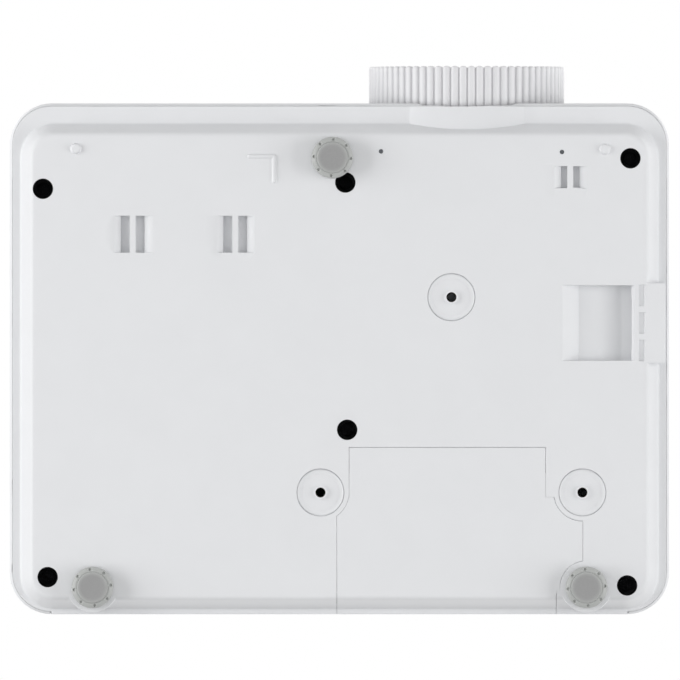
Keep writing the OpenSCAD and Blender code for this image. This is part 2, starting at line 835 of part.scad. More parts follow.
// Thick floor above a pocket
module pocket_back(x, y, w, l) {
  block([x - w / 2 - wall, y - l / 2 - wall, under_z + 1],
     [x + w / 2 + wall, y + l / 2 + wall, under_z + bridge_t + wall]);
}

bridges = [
  [left_x + bridge_left[0], front_y + bridge_left[1] + bridge_l / 2, bridge_w, bridge_l],
  [-bridge_mid[0], front_y + bridge_mid[1] + bridge_l / 2, bridge_w, bridge_l],
  [right_x - bridge_small[0], front_y + bridge_small[1] + small_l / 2, small_w, small_l]
];

// Cable pocket with its bar, slots and tunnel to the side
module cable_cut() {
  x0 = right_x - cable_pocket[0];
  x1 = x0 + cable_w;
  y0 = front_y + cable_pocket[1];
  translate([0, y0 + cable_l, under_z]) rotate([90, 0, 0]) linear_extrude(cable_l)
    polygon([[x0, -over], [x0, 0], [x0 + 0.23 * cable_w, cable_t - 3],
        [x0 + 0.55 * cable_w, cable_t - 3], [x0 + 0.69 * cable_w, cable_t - 1],
        [x0 + 0.81 * cable_w, cable_t], [x1 + over, cable_t],
        [x1 + over, cable_bar_t], [x1 - 1.5, cable_bar_t - 0.8], [x1 - 0.2, 0],
        [x1 - 0.2, -over]]);
  block([x1 - over, y0 + 4, under_z + cable_bar_t],
     [right_x - side_block_in + over, y0 + cable_l - 4, under_z + cable_t]);
  for (i = [0 : 2])
    block([x1 + 2, y0 + i * 13.2 - 0.3, under_z - over],
       [x1 + 4.8, y0 + i * 13.2 + 10, under_z + slot_t]);
}

module lower_case() {
  color("whitesmoke") difference() {
    union() {
      difference() {
        lower_outside();
        lower_inside();
      }
      intersection() {
        lower_outside();
        lower_backs();
      }
      lower_lips();
    }
    lower_cuts();
    door_solid(door_gap);
  }
  color("whitesmoke") lower_relief();
  color("whitesmoke") door_ledge();
}

// Thick places inside the lower shell
module lower_backs() {
  for (b = bridges) pocket_back(b[0], b[1], b[2], b[3]);
  x0 = right_x - cable_pocket[0];
  y0 = front_y + cable_pocket[1];
  block([x0 - wall, y0 - wall, under_z + 1],
     [right_x - side_block_in, y0 + cable_l + wall, shelf_z]);
  for (p = mounts)
    at(p, under_z + 1)
      cylinder(r = boss_r, h = insert_z + mount_len - under_z - 1);
  for (p = mounts)
    at(p, under_z + 1) cylinder(r = recess_r + 2, h = wall);
  for (p = [left_foot, right_foot])
    at(p, under_z) cylinder(r = pedestal_r, h = shelf_z - under_z);
}

// Tongues that locate the upper shell
module lower_lips() {
  inner = wall + seam_gap;
  lip_t = 1.6;
  for (side = [-1, 1])
    translate([side * (case_w / 2 - inner - lip_t / 2), (front_y + rear_y) / 2, flange_z + 1])
      linear_extrude(wall + 4)
        square([lip_t, case_d - 4 * case_r], center = true);
}

// Holes, wells and pockets of the lower shell
module lower_cuts() {
  for (p = wells)
    at(p, under_z - over) cylinder(r = well_r, h = wall + 2 * over);
  for (p = wells)
    at(p, floor_z)
      cylinder(r = well_r + tube_wall + 0.15, h = shelf_z - floor_z + over);
  for (p = mounts) {
    at(p, under_z - over) cylinder(r = mount_r + mount_clear, h = base_step);
    at(p, under_z - over) difference() {
      cylinder(r = recess_r, h = recess_t + over);
      translate([0, 0, -over]) cylinder(r = insert_r, h = recess_t + 3 * over);
    }
    at(p, insert_z) cylinder(r = insert_r, h = base_step);
  }
  for (p = [front_foot, left_foot, right_foot]) {
    at(p, under_z - over) cylinder(r = stud_r + fit_gap, h = base_step);
    at(p, floor_z)
      cylinder(r = foot_nut_r + fit_gap, h = base_step + wall);
  }
  for (b = bridges) bridge_pocket(b[0], b[1], b[2], b[3]);
  for (p = small_places())
    at(p, under_z - over) cylinder(r = tiny_r, h = 2 + over);
  cable_cut();
}

function small_places() = [
  [tiny_left[0], front_y + tiny_left[1]],
  [right_x - tiny_right[0], front_y + tiny_right[1]]
];

// Rib and pegs of the underside
module lower_relief() {
  x1 = -rib_corner[0];
  y0 = front_y + rib_corner[1];
  block([x1 - rib_arm_x, y0, under_z - rib_h], [x1, y0 + rib_w, under_z + over]);
  block([x1 - rib_w, y0, under_z - rib_h], [x1, y0 + rib_arm_y, under_z + over]);
  for (p = [[left_x + peg_left[0], front_y + peg_left[1]],
       [right_x - peg_right[0], front_y + peg_right[1]]])
    at(p, under_z) rotate([180, 0, 0]) rotate_extrude()
      polygon(concat([[0, -over], [peg_r, -over]],
             [for (a = [0 : 15 : 90]) [peg_r * cos(a), peg_h * sin(a)]]));
}

module lamp_door() {
  color("whitesmoke") intersection() {
    difference() {
      lower_outside();
      lower_inside();
      for (p = [left_foot, right_foot])
        at(p, under_z - over)
          cylinder(r = pedestal_r + door_gap / 2, h = base_step + 2 * wall);
    }
    door_solid(0);
  }
}

// Side of the upper shell, from its lower edge up to the top
function shell_side(r_low, r_top, low, high) =
  concat(arc([r_low, low + r_low], r_low, 270, 180, 4),
     arc([r_top, high - r_top], r_top, 180, 90, 6));

module upper_outside() {
  tub(left_x, right_x, front_y, rear_y, case_r, shell_side(edge_r, top_r, seam_z, case_h));
}

module upper_inside() {
  tub(left_x + wall, right_x - wall, front_y + wall, rear_y - wall, case_r - wall,
    concat([[lip_out - wall, seam_z - over], [lip_out - wall, rest_z], [0, rest_z]],
       arc([top_in_r, ceiling_z - top_in_r], top_in_r, 180, 90, 6)));
}

// Posts of the case screws and of the keypad's board
module upper_posts() {
  for (p = wells)
    at(p, ledge_z + ledge_t)
      cylinder(r = post_r, h = ceiling_z - ledge_z - ledge_t + 1);
  for (p = keypad_posts())
    at(p, pad_board_z + board_t)
      cylinder(r = 3, h = ceiling_z - pad_board_z - board_t + 1);
  translate([0, 0, window_low]) linear_extrude(ceiling_z - window_low + 1)
    translate([lens_x, zoom_y + zoom_w / 2])
      difference() {
        round_rect(2 * window_w + 3, zoom_w + 2 * window_gap + 3, window_r + 1.5);
        round_rect(2 * window_w, zoom_w + 2 * window_gap, window_r);
      }
}
window_low = lens_z + barrel_r + 1.5;

function keypad_posts() = [
  for (x = [-1, 1], y = [-1, 1])
    [keypad_x + x * (key_off + 4), keypad_y + y * (arrow_r + 4)]
];

// Openings of the upper shell
module upper_cuts() {
  block([left_x + case_r - over, rear_y - wall - over, seam_z - over],
     [right_x - case_r + over, rear_y + over, panel_top + fit_gap]);
  lens_rod(front_y - over, opening_r, collar_d + 2 * over);
  block([drive_x - bezel_w / 2 - bezel_gap, front_y - over, bezel_z - bezel_gap],
     [drive_x + bezel_w / 2 + bezel_gap, front_y + wall + over,
     bezel_z + bezel_h + bezel_gap]);
  translate([drive_x, front_y + wall + over, front_grille_z]) rotate([90, 0, 0])
    linear_extrude(wall + 2 * over) round_rect(front_grille_w, front_grille_h, slot_h);
  translate([lens_x - ir_left, front_y + wall + over, ir_z]) rotate([90, 0, 0])
    linear_extrude(wall + 2 * over) round_rect(ir_w, ir_h, ir_h / 2 - 0.01);
  block([left_x - over, intake_y - intake_l / 2, fan_z - grille_h / 2],
     [left_x + wall + over, intake_y + intake_l / 2, fan_z + grille_h / 2]);
  block([right_x - wall - over, fan_y - exhaust_l / 2, fan_z - grille_h / 2],
     [right_x + over, fan_y + exhaust_l / 2, fan_z + grille_h / 2]);
  translate([lens_x, zoom_y + zoom_w / 2, window_low - over])
    linear_extrude(case_h - window_low + 2 * over)
      round_rect(2 * window_w, zoom_w + 2 * window_gap, window_r);
  for (p = wells)
    at(p, ledge_z) cylinder(r = screw_r + 0.05, h = ledge_t + screw_len);
  key_holes();
}
panel_top = case_h - top_r - 6;

module upper_case() {
  color("white") difference() {
    union() {
      difference() {
        upper_outside();
        upper_inside();
      }
      upper_posts();
      intersection() {
        lens_rod(front_y, opening_r + collar_t, collar_d);
        block([lens_x - 2 * ring_r, front_y - over, shelf_z + 1],
           [lens_x + 2 * ring_r, front_y + 2 * collar_d, case_h]);
      }
      difference() {
        chin(front_y + edge_r / 2, front_y + lip_out, seam_z + 3);
        block([0, front_y - over, 0],
           [right_x, front_y + wall + over, flange_z - chin_drop / 2]);
      }
    }
    upper_cuts();
  }
}

// Holes of the keypad
module key_holes() {
  translate([0, 0, ceiling_z - over]) linear_extrude(wall + 2 * over) {
    translate([keypad_x, keypad_y]) circle(enter_r + key_run);
    for (a = [0 : 90 : 270]) translate([keypad_x, keypad_y]) rotate(a) arrow_plan(key_run);
    for (side = [-1, 1])
      translate([keypad_x + side * key_off, keypad_y - arrow_r / 2])
        round_rect(key_l + 2 * key_run, key_w + 2 * key_run, key_w / 2);
    translate([keypad_x - key_off, keypad_y + arrow_r / 2]) circle(power_r + key_run);
  }
}

// Plan of one arrow key, a quarter of a ring on the +X side, grown by g
module arrow_plan(g) {
  inner = enter_r + key_gap + 1;
  intersection() {
    difference() {
      circle(arrow_r + g);
      circle(inner - g);
    }
    polygon([[key_gap - g, 0], [key_gap + 30 - g, 30], [key_gap + 30 - g, -30]]);
  }
}

module rear_panel() {
  color("gainsboro") difference() {
    block([left_x + case_r - over + fit_gap, rear_y - wall, shelf_z],
       [right_x - case_r + over - fit_gap, rear_y, panel_top]);
    for (s = box_sockets())
      block([s[0] - s[1] / 2 - fit_gap, rear_y - wall - over, s[3] - s[2] / 2 - fit_gap],
         [s[0] + s[1] / 2 + fit_gap, rear_y + over, s[3] + s[2] / 2 + fit_gap]);
    for (x = phono_places())
      rod_y(x, rear_y - wall - over, socket_z, phono_r + fit_gap, wall + 2 * over);
    block([left_x + inlet_x - inlet_w / 2 - fit_gap, rear_y - wall - over,
       inlet_z - inlet_h / 2 - fit_gap],
       [left_x + inlet_x + inlet_w / 2 + fit_gap, rear_y + over,
       inlet_z + inlet_h / 2 + fit_gap]);
    translate([lamp_x, rear_y + over, beam_z]) rotate([90, 0, 0])
      linear_extrude(wall + 2 * over) round_rect(rear_grille_w, rear_grille_h, slot_h);
  }
}

module rear_grille() {
  color("lightgray")
    translate([lamp_x, rear_y - grille_in, beam_z]) rotate([90, 0, 0])
      louvre_plate(rear_grille_w - 2 * fit_gap, rear_grille_h - 2 * fit_gap, wall - grille_in);
}

module front_grille() {
  color("lightgray")
    translate([drive_x, front_y + wall + grille_in, front_grille_z]) rotate([90, 0, 0])
      louvre_plate(front_grille_w - 2 * fit_gap, front_grille_h - 2 * fit_gap, wall);
}

module intake_grille() {
  color("lightgray")
    translate([left_x + grille_in, intake_y, fan_z]) rotate([90, 0, 90])
      louvre_plate(intake_l - 2 * fit_gap, grille_h - 2 * fit_gap, wall - grille_in);
}

module exhaust_grille() {
  color("lightgray")
    translate([right_x - wall, fan_y, fan_z]) rotate([90, 0, 90])
      louvre_plate(exhaust_l - 2 * fit_gap, grille_h - 2 * fit_gap, wall - grille_in);
}

module ir_window() {
  color("black")
    translate([lens_x - ir_left, front_y + wall + 0.6, ir_z]) rotate([90, 0, 0])
      linear_extrude(wall + 0.2)
        round_rect(ir_w - 2 * fit_gap, ir_h - 2 * fit_gap, ir_h / 2 - fit_gap - 0.01);
}

// Chassis and fasteners

// Plan of the chassis plate before its holes
module plate_plan() {
  half = case_w / 2 - plate_in;
  door_y = rear_y - door_front - 3;
  back = rear_y - well_rear_left[1];
  translate([-half, front_y + front_margin + slope_run + 5])
    square([2 * half, door_y - front_y - front_margin - slope_run - 5]);
  translate([-half, door_y - over]) square([half - door_rear_left - 4, back - door_y]);
  translate([right_x - foot_rear[0] + 2, door_y - over])
    square([foot_rear[0] - plate_in - 2, right_foot[1] - door_y - pedestal_r]);
  translate([right_foot[0] + foot_nut_r + 2, door_y])
    square([half - right_foot[0] - foot_nut_r - 2, right_foot[1] - door_y]);
}

// Square post from the plate up to a height
module post(x, y, top) {
  block([x - post_w / 2, y - post_w / 2, floor_z], [x + post_w / 2, y + post_w / 2, top]);
}

module chassis_frame() {
  cage_x = lamp_w / 2 + fit_gap;
  cage_back = right_foot[1] - foot_nut_r - 2;
  fan_foot = fan_z - fan_w / 2;
  color("dimgray") difference() {
    union() {
      translate([0, 0, floor_z]) linear_extrude(plate_t) difference() {
        plate_plan();
        for (b = bridges)
          translate([b[0], b[1]])
            square([b[2] + 2 * (wall + plate_gap), b[3] + 2 * (wall + plate_gap)],
               center = true);
        for (p = mounts) translate(p) circle(recess_r + 2 + plate_gap);
        translate(front_foot) circle(foot_nut_r + plate_gap);
        for (p = [left_foot, right_foot])
          translate(p) circle(pedestal_r + plate_gap);
        translate([right_x - cable_pocket[0] - wall - plate_gap,
             front_y + cable_pocket[1] - wall - plate_gap])
          square([cable_pocket[0], cable_l + 2 * (wall + plate_gap)]);
      }
      for (p = wells)
        at(p, floor_z)
          cylinder(r = well_r + tube_wall, h = ledge_z + ledge_t - floor_z);
      for (x = [-1, 1], y = [drive_front + 30, drive_back - 14])
        post(drive_x + x * drive_w * 0.36, y, drive_z);
      for (x = [-1, 1], y = [engine_y + 8, engine_back - 8])
        post(engine_x + x * (engine_w / 2 - 8), y, engine_z);
      for (p = board_posts()) post(p[0], p[1], main_z);
      for (x = [8, power_w - 8], y = [8, power_d - 8])
        post(power_x + x, power_y + y, power_z);
      block([fan_x + 1, fan_y - fan_w / 3, floor_z],
         [case_w / 2 - plate_in, fan_y + fan_w / 4, fan_foot]);
      for (side = [-1, 1])
        block([lamp_x + side * cage_x - (side < 0 ? 2 : 0), lamp_front - 10, lamp_z],
           [lamp_x + side * cage_x + (side < 0 ? 0 : 2), cage_back, lamp_z + lamp_h]);
      for (side = [-1, 1])
        block([lamp_x + side * cage_x - (side < 0 ? 2 : 0), lamp_front - 10, floor_z],
           [lamp_x + side * cage_x + (side < 0 ? 0 : 2),
           rear_y - door_front - 3, lamp_z + over]);
    }
    for (p = wells)
      at(p, floor_z - over) cylinder(r = well_r, h = ledge_z - floor_z + over);
    for (p = wells)
      at(p, ledge_z - over)
        cylinder(r = screw_r + 0.3, h = ledge_t + 2 * over);
  }
}

// Posts of the main board, clear of the disc drive
function board_posts() = [
  [main_left + 6.5, main_y + 8],
  [main_left + 6.5, rear_y - 34],
  [main_right - 5, drive_back + 6],
  [main_right - 8, mounts[1][1] - recess_r - 8]
];

module case_screws() {
  color("black") for (p = wells) {
    difference() {
      at(p, ledge_z - screw_head_h)
        cylinder(r = screw_head_r, h = screw_head_h);
      at(p, ledge_z - screw_head_h - over)
        linear_extrude(1.2 + over) for (a = [0, 90]) rotate(a)
          square([3.6, 0.9], center = true);
    }
    at(p, ledge_z - 0.01) cylinder(r = screw_r, h = screw_len);
  }
}

module small_screws() {
  color("black") for (p = small_places())
    at(p, under_z + 0.3) difference() {
      cylinder(r = tiny_r - 0.05, h = 1.6);
      translate([0, 0, -over]) linear_extrude(0.5 + over)
        square([1.2, 0.4], center = true);
    }
}

module mount_inserts() {
  color("goldenrod") for (p = mounts)
    at(p, insert_z) difference() {
      cylinder(r = insert_r, h = mount_len);
      translate([0, 0, -over]) cylinder(r = mount_r, h = mount_len + 2 * over);
    }
}

module foot_nuts() {
  color("silver") for (p = [front_foot, left_foot, right_foot])
    at(p, floor_z) difference() {
      cylinder(r = foot_nut_r, h = foot_nut_h, $fn = 6);
      translate([0, 0, -over])
        cylinder(r = stud_r + thread_gap, h = foot_nut_h + 2 * over);
    }
}

// Notched rim with its thread, open below for the pad
module foot_knob(p) {
  rim_h = foot_h - pad_out - foot_home_gap;
  pocket = pad_t - pad_out + fit_gap;
  color("darkseagreen") at(p, pad_out) difference() {
    union() {
      cylinder(r = foot_r, h = rim_h);
      translate([0, 0, rim_h - over])
        cylinder(r = stud_r, h = stud_len + foot_home_gap + over);
    }
    translate([0, 0, -over]) cylinder(r = pad_r + fit_gap, h = pocket + over);
    for (i = [0 : foot_notches - 1])
      rotate(i * 360 / foot_notches) translate([foot_r + 0.4, 0, -over])
        cylinder(r = 1.3, h = rim_h + 2 * over);
  }
}

module foot_pad(p) {
  color("gray") at(p, 0) cylinder(r = pad_r, h = pad_t);
}

module front_foot_knob() { foot_knob(front_foot); }
module left_foot_knob() { foot_knob(left_foot); }
module right_foot_knob() { foot_knob(right_foot); }
module front_foot_pad() { foot_pad(front_foot); }
module left_foot_pad() { foot_pad(left_foot); }
module right_foot_pad() { foot_pad(right_foot); }

// Lens

module focus_ring() {
  y0 = front_y - ring_out;
  y1 = front_y + ring_in;
  color("white") {
    translate([lens_x, y0, lens_z]) rotate([-90, 0, 0]) linear_extrude(y1 - y0)
      difference() {
        circle(ring_r);
        circle(ring_r - ring_wall);
        for (i = [0 : ring_flutes - 1])
          rotate(i * 360 / ring_flutes)
            translate([ring_r + flute_r * 0.45, 0]) circle(flute_r);
      }
    turned_y(lens_x, lens_z,
        [[ring_bore_r, y0 + 11], [ring_r - ring_wall + over, y0 + 1],
         [ring_r - ring_wall + over, y0 + 4], [ring_bore_r + 2.5, y0 + 13],
         [ring_bore_r + 2.5, y1], [ring_bore_r, y1]]);
  }
}

module lens_barrel() {
  color("dimgray") {
    difference() {
      lens_rod(barrel_y, barrel_r, engine_y - barrel_y);
      lens_rod(barrel_y - over, barrel_r - barrel_wall,
         engine_y - barrel_y - 3 + over);
      lens_rod(barrel_y, glass_r * 0.6, engine_y - barrel_y + over);
    }
    difference() {
      lens_rod(engine_y - 4, barrel_r + 4, 4);
      lens_rod(engine_y - 4 - over, barrel_r - over, 4 + 2 * over);
    }
  }
}

module lens_cell() {
  y0 = barrel_y + focus_travel + 0.5;
  color("black") difference() {
    lens_rod(y0, cell_r, cell_len);
    lens_rod(y0 - over, glass_r, cell_len - 3 + over);
    lens_rod(y0, glass_r - 3, cell_len + over);
  }
}

module front_lens() {
  y1 = barrel_y + focus_travel + 0.5 + cell_len - 3;
  sag = glass_t - glass_edge;
  color("lightblue") turned_y(lens_x, lens_z, concat(
    [[0, y1], [glass_r, y1]],
    [for (a = [90 : -9 : 0]) [glass_r * sin(a), y1 - glass_edge - sag * cos(a)]]));
}

module zoom_ring() {
  color("gray") {
    difference() {
      lens_rod(zoom_y, zoom_r, zoom_w);
      lens_rod(zoom_y - over, ring_bore_r, zoom_w + 2 * over);
    }
    block([lens_x - lever_w / 2, zoom_y + 2, lens_z + zoom_r - 1],
       [lens_x + lever_w / 2, zoom_y + zoom_w - 2, lens_z + lever_top]);
  }
}

// Light path

module optical_engine() {
  x0 = engine_x - engine_w / 2;
  x1 = engine_x + engine_w / 2;
  color("silver") difference() {
    block([x0, engine_y, engine_z], [x1, engine_back, engine_z + engine_h]);
    block([x0 + engine_wall, engine_y + engine_wall, engine_z + engine_wall],
       [x1 - engine_wall, engine_back - engine_wall, engine_z + engine_h + over]);
    lens_rod(engine_y - over, glass_r * 0.6, engine_wall + 2 * over);
    rod_y(beam_x, engine_back - engine_wall - over, beam_z, 6, engine_wall + 2 * over);
  }
}

module chip_board() {
  color("seagreen")
    block([chip_x - chip_board_w / 2, engine_back, chip_z - chip_board_h / 2],
       [chip_x + chip_board_w / 2, engine_back + board_t, chip_z + chip_board_h / 2]);
}

module chip_heatsink() {
  base = 3;
  y0 = engine_back + board_t;
  w = chip_board_w - 4;
  color("silver") {
    block([chip_x - w / 2, y0, chip_z - chip_board_h / 2 + 3],
       [chip_x + w / 2, y0 + base, chip_z + chip_board_h / 2 - 3]);
    for (i = [0 : fins - 1])
      block([chip_x - w / 2 + i * (w - fin_t) / (fins - 1), y0 + base - 0.1,
         chip_z - chip_board_h / 2 + 3],
         [chip_x - w / 2 + i * (w - fin_t) / (fins - 1) + fin_t, y0 + sink_d,
         chip_z + chip_board_h / 2 - 3]);
  }
}

module color_wheel_motor() {
  color("black") {
    rod_y(wheel_x, engine_back, wheel_z, motor_r, motor_l);
    rod_y(wheel_x, engine_back + motor_l - over, wheel_z, shaft_r, 6);
  }
}

module color_wheel() {
  y0 = engine_back + motor_l + fit_gap;
  color("lightskyblue") difference() {
    union() {
      rod_y(wheel_x, y0, wheel_z, motor_r - 2, 3);
      rod_y(wheel_x, y0 + 1, wheel_z, wheel_r, wheel_t);
    }
    rod_y(wheel_x, y0 - over, wheel_z, shaft_r + thread_gap, 3 + 2 * over);
  }
}

module lamp_housing() {
  x0 = lamp_x - lamp_w / 2;
  x1 = lamp_x + lamp_w / 2;
  color("darkslategray") difference() {
    block([x0, lamp_front, lamp_z], [x1, lamp_back, lamp_z + lamp_h]);
    block([x0 + lamp_wall, lamp_front + lamp_wall, lamp_z + lamp_wall],
       [x1 - lamp_wall, lamp_back - lamp_wall, lamp_z + lamp_h - lamp_wall]);
    rod_y(beam_x, lamp_front - over, beam_z, reflector_r - 4, lamp_wall + 2 * over);
    for (i = [-3 : 3], k = [-2 : 2])
      translate([lamp_x + i * vent_pitch, lamp_back, beam_z + k * slot_pitch])
        cube([vent_l, 3 * lamp_wall, slot_h], center = true);
  }
}

// Bowl whose depth grows with the square of its radius, open to the front
module lamp_reflector() {
  y0 = lamp_front + lamp_wall;
  steps = 8;
  color("gainsboro") {
    turned_y(beam_x, beam_z, concat(
      [for (i = [1 : steps]) let (r = reflector_r * i / steps)
        [r, y0 + reflector_d * (1 - (i / steps) * (i / steps))]],
      [for (i = [steps : -1 : 1]) let (r = reflector_r * i / steps)
        [r + (i == steps ? reflector_t : reflector_t * 0.8),
        y0 + reflector_d * (1 - (i / steps) * (i / steps))
        + (i == steps ? 0 : reflector_t)]]));
    rod_y(beam_x, y0 + reflector_d - 8, beam_z, 5.6, lamp_d - reflector_d - 2 * lamp_wall - 2);
  }
}

// Cooling and sound

module fan_frame() {
  color("black") {
    difference() {
      translate([fan_x, fan_y, fan_z]) rotate([90, 0, 90]) linear_extrude(fan_t)
        difference() {
          round_rect(fan_w, fan_w, 4);
          circle(fan_bore_r);
        }
      for (y = [-1, 1], z = [-1, 1])
        rod_x(fan_x - over, fan_y + y * (fan_w / 2 - 5), fan_z + z * (fan_w / 2 - 5), 2,
           fan_t + 2 * over);
    }
    rod_x(fan_x, fan_y, fan_z, hub_r, 3);
    rod_x(fan_x, fan_y, fan_z, shaft_r, fan_t - 4);
    for (a = [45 : 90 : 315])
      translate([fan_x, fan_y, fan_z]) rotate([a, 0, 0])
        block([0.4, -1.5, hub_r - 1], [2.6, 1.5, fan_bore_r + 0.5]);
  }
}

module fan_rotor() {
  x0 = fan_x + 3 + 0.5;
  depth = fan_t - 3 - 1.5;
  color("darkslategray") translate([x0, fan_y, fan_z]) difference() {
    union() {
      rotate([0, 90, 0]) cylinder(r = hub_r - 1, h = depth);
      for (i = [0 : fan_blades - 1])
        rotate([i * 360 / fan_blades, 0, 0]) translate([depth / 2, 0, 0])
          rotate([0, 0, 34])
            block([-1, -depth / 2.2, hub_r - 3],
               [1, depth / 2.2, fan_bore_r - fan_tip_gap - 1.2]);
    }
    rod_x(-1, 0, 0, shaft_r + thread_gap, fan_t - 6);
  }
}

module speaker() {
  x0 = left_x + wall;
  y = intake_y + intake_l / 2 - speaker_w / 2 - 9;
  z = main_z + board_t + speaker_w / 2;
  color("black") {
    difference() {
      translate([x0, y, z]) rotate([90, 0, 90]) linear_extrude(3)
        round_rect(speaker_w, speaker_w, 5);
      rod_x(x0 - over, y, z, cone_r, 3 + 2 * over);
    }
    translate([x0 + 3 - 0.1, y, z]) rotate([0, 90, 0])
      cylinder(r1 = cone_r + 1.5, r2 = cone_r / 2 + 1, h = speaker_d - 6);
    rod_x(x0 + speaker_d - 3.5, y, z, cone_r / 2, 3.5);
  }
}

// Electronics

module main_board() {
  color("seagreen") {
    difference() {
      block([main_left, main_y, main_z], [main_right, main_back, main_z + board_t]);
      for (p = wells)
        at(p, main_z - over)
          cylinder(r = post_r + 3, h = board_t + 2 * over);
      block([main_left - over, main_y - over, main_z - over],
         [left_x + wall + speaker_d + 3, main_y + 4, main_z + board_t + over]);
    }
    for (i = [0 : 2], k = [0 : 1])
      block([main_left + 34 + i * 32, main_y + 20 + k * 34, main_z + board_t - 0.1],
         [main_left + 52 + i * 32, main_y + 38 + k * 34, main_z + board_t + 2.4]);
  }
}

module power_board() {
  parts_z = power_z + board_t - 0.1;
  top = power_z + board_t + power_h;
  color("peru") {
    block([power_x, power_y, power_z],
       [power_x + power_w, power_y + power_d, power_z + board_t]);
    block([power_x + power_w / 13, power_y + power_d / 9, parts_z],
       [power_x + 0.37 * power_w, power_y + power_d / 2, top]);
    block([power_x + 0.56 * power_w, power_y + power_d / 8, parts_z],
       [power_x + 0.6 * power_w, power_y + 0.8 * power_d, top - 4]);
    for (i = [0 : 2])
      at([power_x + 0.76 * power_w, power_y + (0.18 + 0.26 * i) * power_d], parts_z)
        cylinder(r = power_w / 14, h = power_h - 4);
  }
}

module keypad_board() {
  color("seagreen") {
    block([keypad_x - key_off - 12, keypad_y - arrow_r - 8, pad_board_z],
       [keypad_x + key_off + 12, keypad_y + arrow_r + 8, pad_board_z + board_t]);
    for (p = key_places())
      at(p, pad_board_z + board_t - 0.1) cylinder(r = 2.2, h = 0.4);
  }
}

function key_places() = [
  [keypad_x, keypad_y],
  [keypad_x - (arrow_r + enter_r) / 2 - 1, keypad_y],
  [keypad_x + (arrow_r + enter_r) / 2 + 1, keypad_y],
  [keypad_x, keypad_y - (arrow_r + enter_r) / 2 - 1],
  [keypad_x, keypad_y + (arrow_r + enter_r) / 2 + 1],
  [keypad_x - key_off, keypad_y - arrow_r / 2],
  [keypad_x + key_off, keypad_y - arrow_r / 2],
  [keypad_x - key_off, keypad_y + arrow_r / 2]
];

// Rectangular sockets: [x, width, height, z]
function box_sockets() = [
  [left_x + socket_x[0], video_w, video_h, socket_z],
  [left_x + socket_x[1], digital_w, digital_h, socket_z],
  [left_x + socket_x[2], service_w, service_w, socket_z]
];
function phono_places() = [for (i = [0 : 2]) left_x + socket_x[3] + i * phono_pitch];

module port_shells() {
  y0 = rear_y - shell_d;
  color("silver") for (s = box_sockets()) {
    difference() {
      block([s[0] - s[1] / 2, y0, s[3] - s[2] / 2], [s[0] + s[1] / 2, rear_y, s[3] + s[2] / 2]);
      block([s[0] - s[1] / 2 + shell_t, y0 + 3, s[3] - s[2] / 2 + shell_t],
         [s[0] + s[1] / 2 - shell_t, rear_y + over, s[3] + s[2] / 2 - shell_t]);
    }
    block([s[0] - s[1] / 3, y0, main_z + board_t],
       [s[0] + s[1] / 3, y0 + 5, s[3] - s[2] / 2 + 0.1]);
  }
}

module phono_sockets() {
  y0 = rear_y - shell_d;
  color("goldenrod") for (x = phono_places()) difference() {
    union() {
      rod_y(x, y0, socket_z, phono_r, shell_d);
      block([x - phono_r, y0, main_z + board_t], [x + phono_r, y0 + 7, socket_z]);
    }
    rod_y(x, y0 + 5, socket_z, phono_bore_r, shell_d);
  }
}

module ac_inlet() {
  x = left_x + inlet_x;
  y0 = rear_y - inlet_d;
  color("black") difference() {
    block([x - inlet_w / 2, y0, inlet_z - inlet_h / 2],
       [x + inlet_w / 2, rear_y, inlet_z + inlet_h / 2]);
    block([x - inlet_w / 2 + inlet_wall, y0 + 5, inlet_z - inlet_h / 2 + inlet_wall],
       [x + inlet_w / 2 - inlet_wall, rear_y + over, inlet_z + inlet_h / 2 - inlet_wall]);
    for (p = pin_places())
      block([x + p[0] - 1.05, y0 - over, inlet_z + p[1] - 2.05],
         [x + p[0] + 1.05, y0 + 5 + over, inlet_z + p[1] + 2.05]);
  }
}

// Blades of the mains inlet, from its middle
function pin_places() = [[-7, -1.5], [7, -1.5], [0, 2.5]];

module ac_pins() {
  x = left_x + inlet_x;
  y0 = rear_y - inlet_d;
  color("silver") for (p = pin_places())
    block([x + p[0] - 1, y0 - 3, inlet_z + p[1] - 2],
       [x + p[0] + 1, y0 + 16, inlet_z + p[1] + 2]);
}

// Disc drive

module drive_case() {
  x0 = drive_x - drive_w / 2;
  x1 = drive_x + drive_w / 2;
  color("silver") difference() {
    block([x0, drive_front, drive_z], [x1, drive_back, drive_z + drive_h - sheet_t]);
    block([x0 + sheet_t, drive_front - over, drive_z + sheet_t],
       [x1 - sheet_t, drive_back - sheet_t, drive_z + drive_h]);
  }
}

module drive_cover() {
  color("lightgray")
    block([drive_x - drive_w / 2, drive_front, drive_z + drive_h - sheet_t],
       [drive_x + drive_w / 2, drive_back, drive_z + drive_h]);
}

// Place of the pickup: +X runs from the spindle along its path
module mech() {
  translate([drive_x, tray_y, 0]) rotate(mech_turn) children();
}

module disc_tray() {
  side = 3;
  color("dimgray") difference() {
    union() {
      difference() {
        block([drive_x - tray_half, tray_front, tray_z],
           [drive_x + tray_half, tray_front + tray_len, tray_top]);
        block([drive_x - tray_half + side, tray_front + side, tray_z - over],
           [drive_x + tray_half - side, tray_front + tray_len - side, mech_top]);
        at([drive_x, tray_y], deck_z) cylinder(r = disc_r, h = disc_t + over);
        at([drive_x, tray_y], tray_z) cylinder(r = hub_clamp_r + 0.6, h = drive_h);
        mech() block([0, -slot_half, tray_z],
              [sled_near + sled_travel + 5, slot_half, tray_top + over]);
      }
      mech() for (x = [rod_near - holder_t, rod_far], y = [-1, 1])
        block([x, y * rod_off - 2.2, sled_z - 1],
           [x + holder_t, y * rod_off + 2.2, mech_top + 0.2]);
      mech() block([rod_far, -lead_off - 1.5, sled_z - 1],
            [rod_far + holder_t, -lead_off + 3, mech_top + 0.2]);
    }
    guide_pair();
  }
}

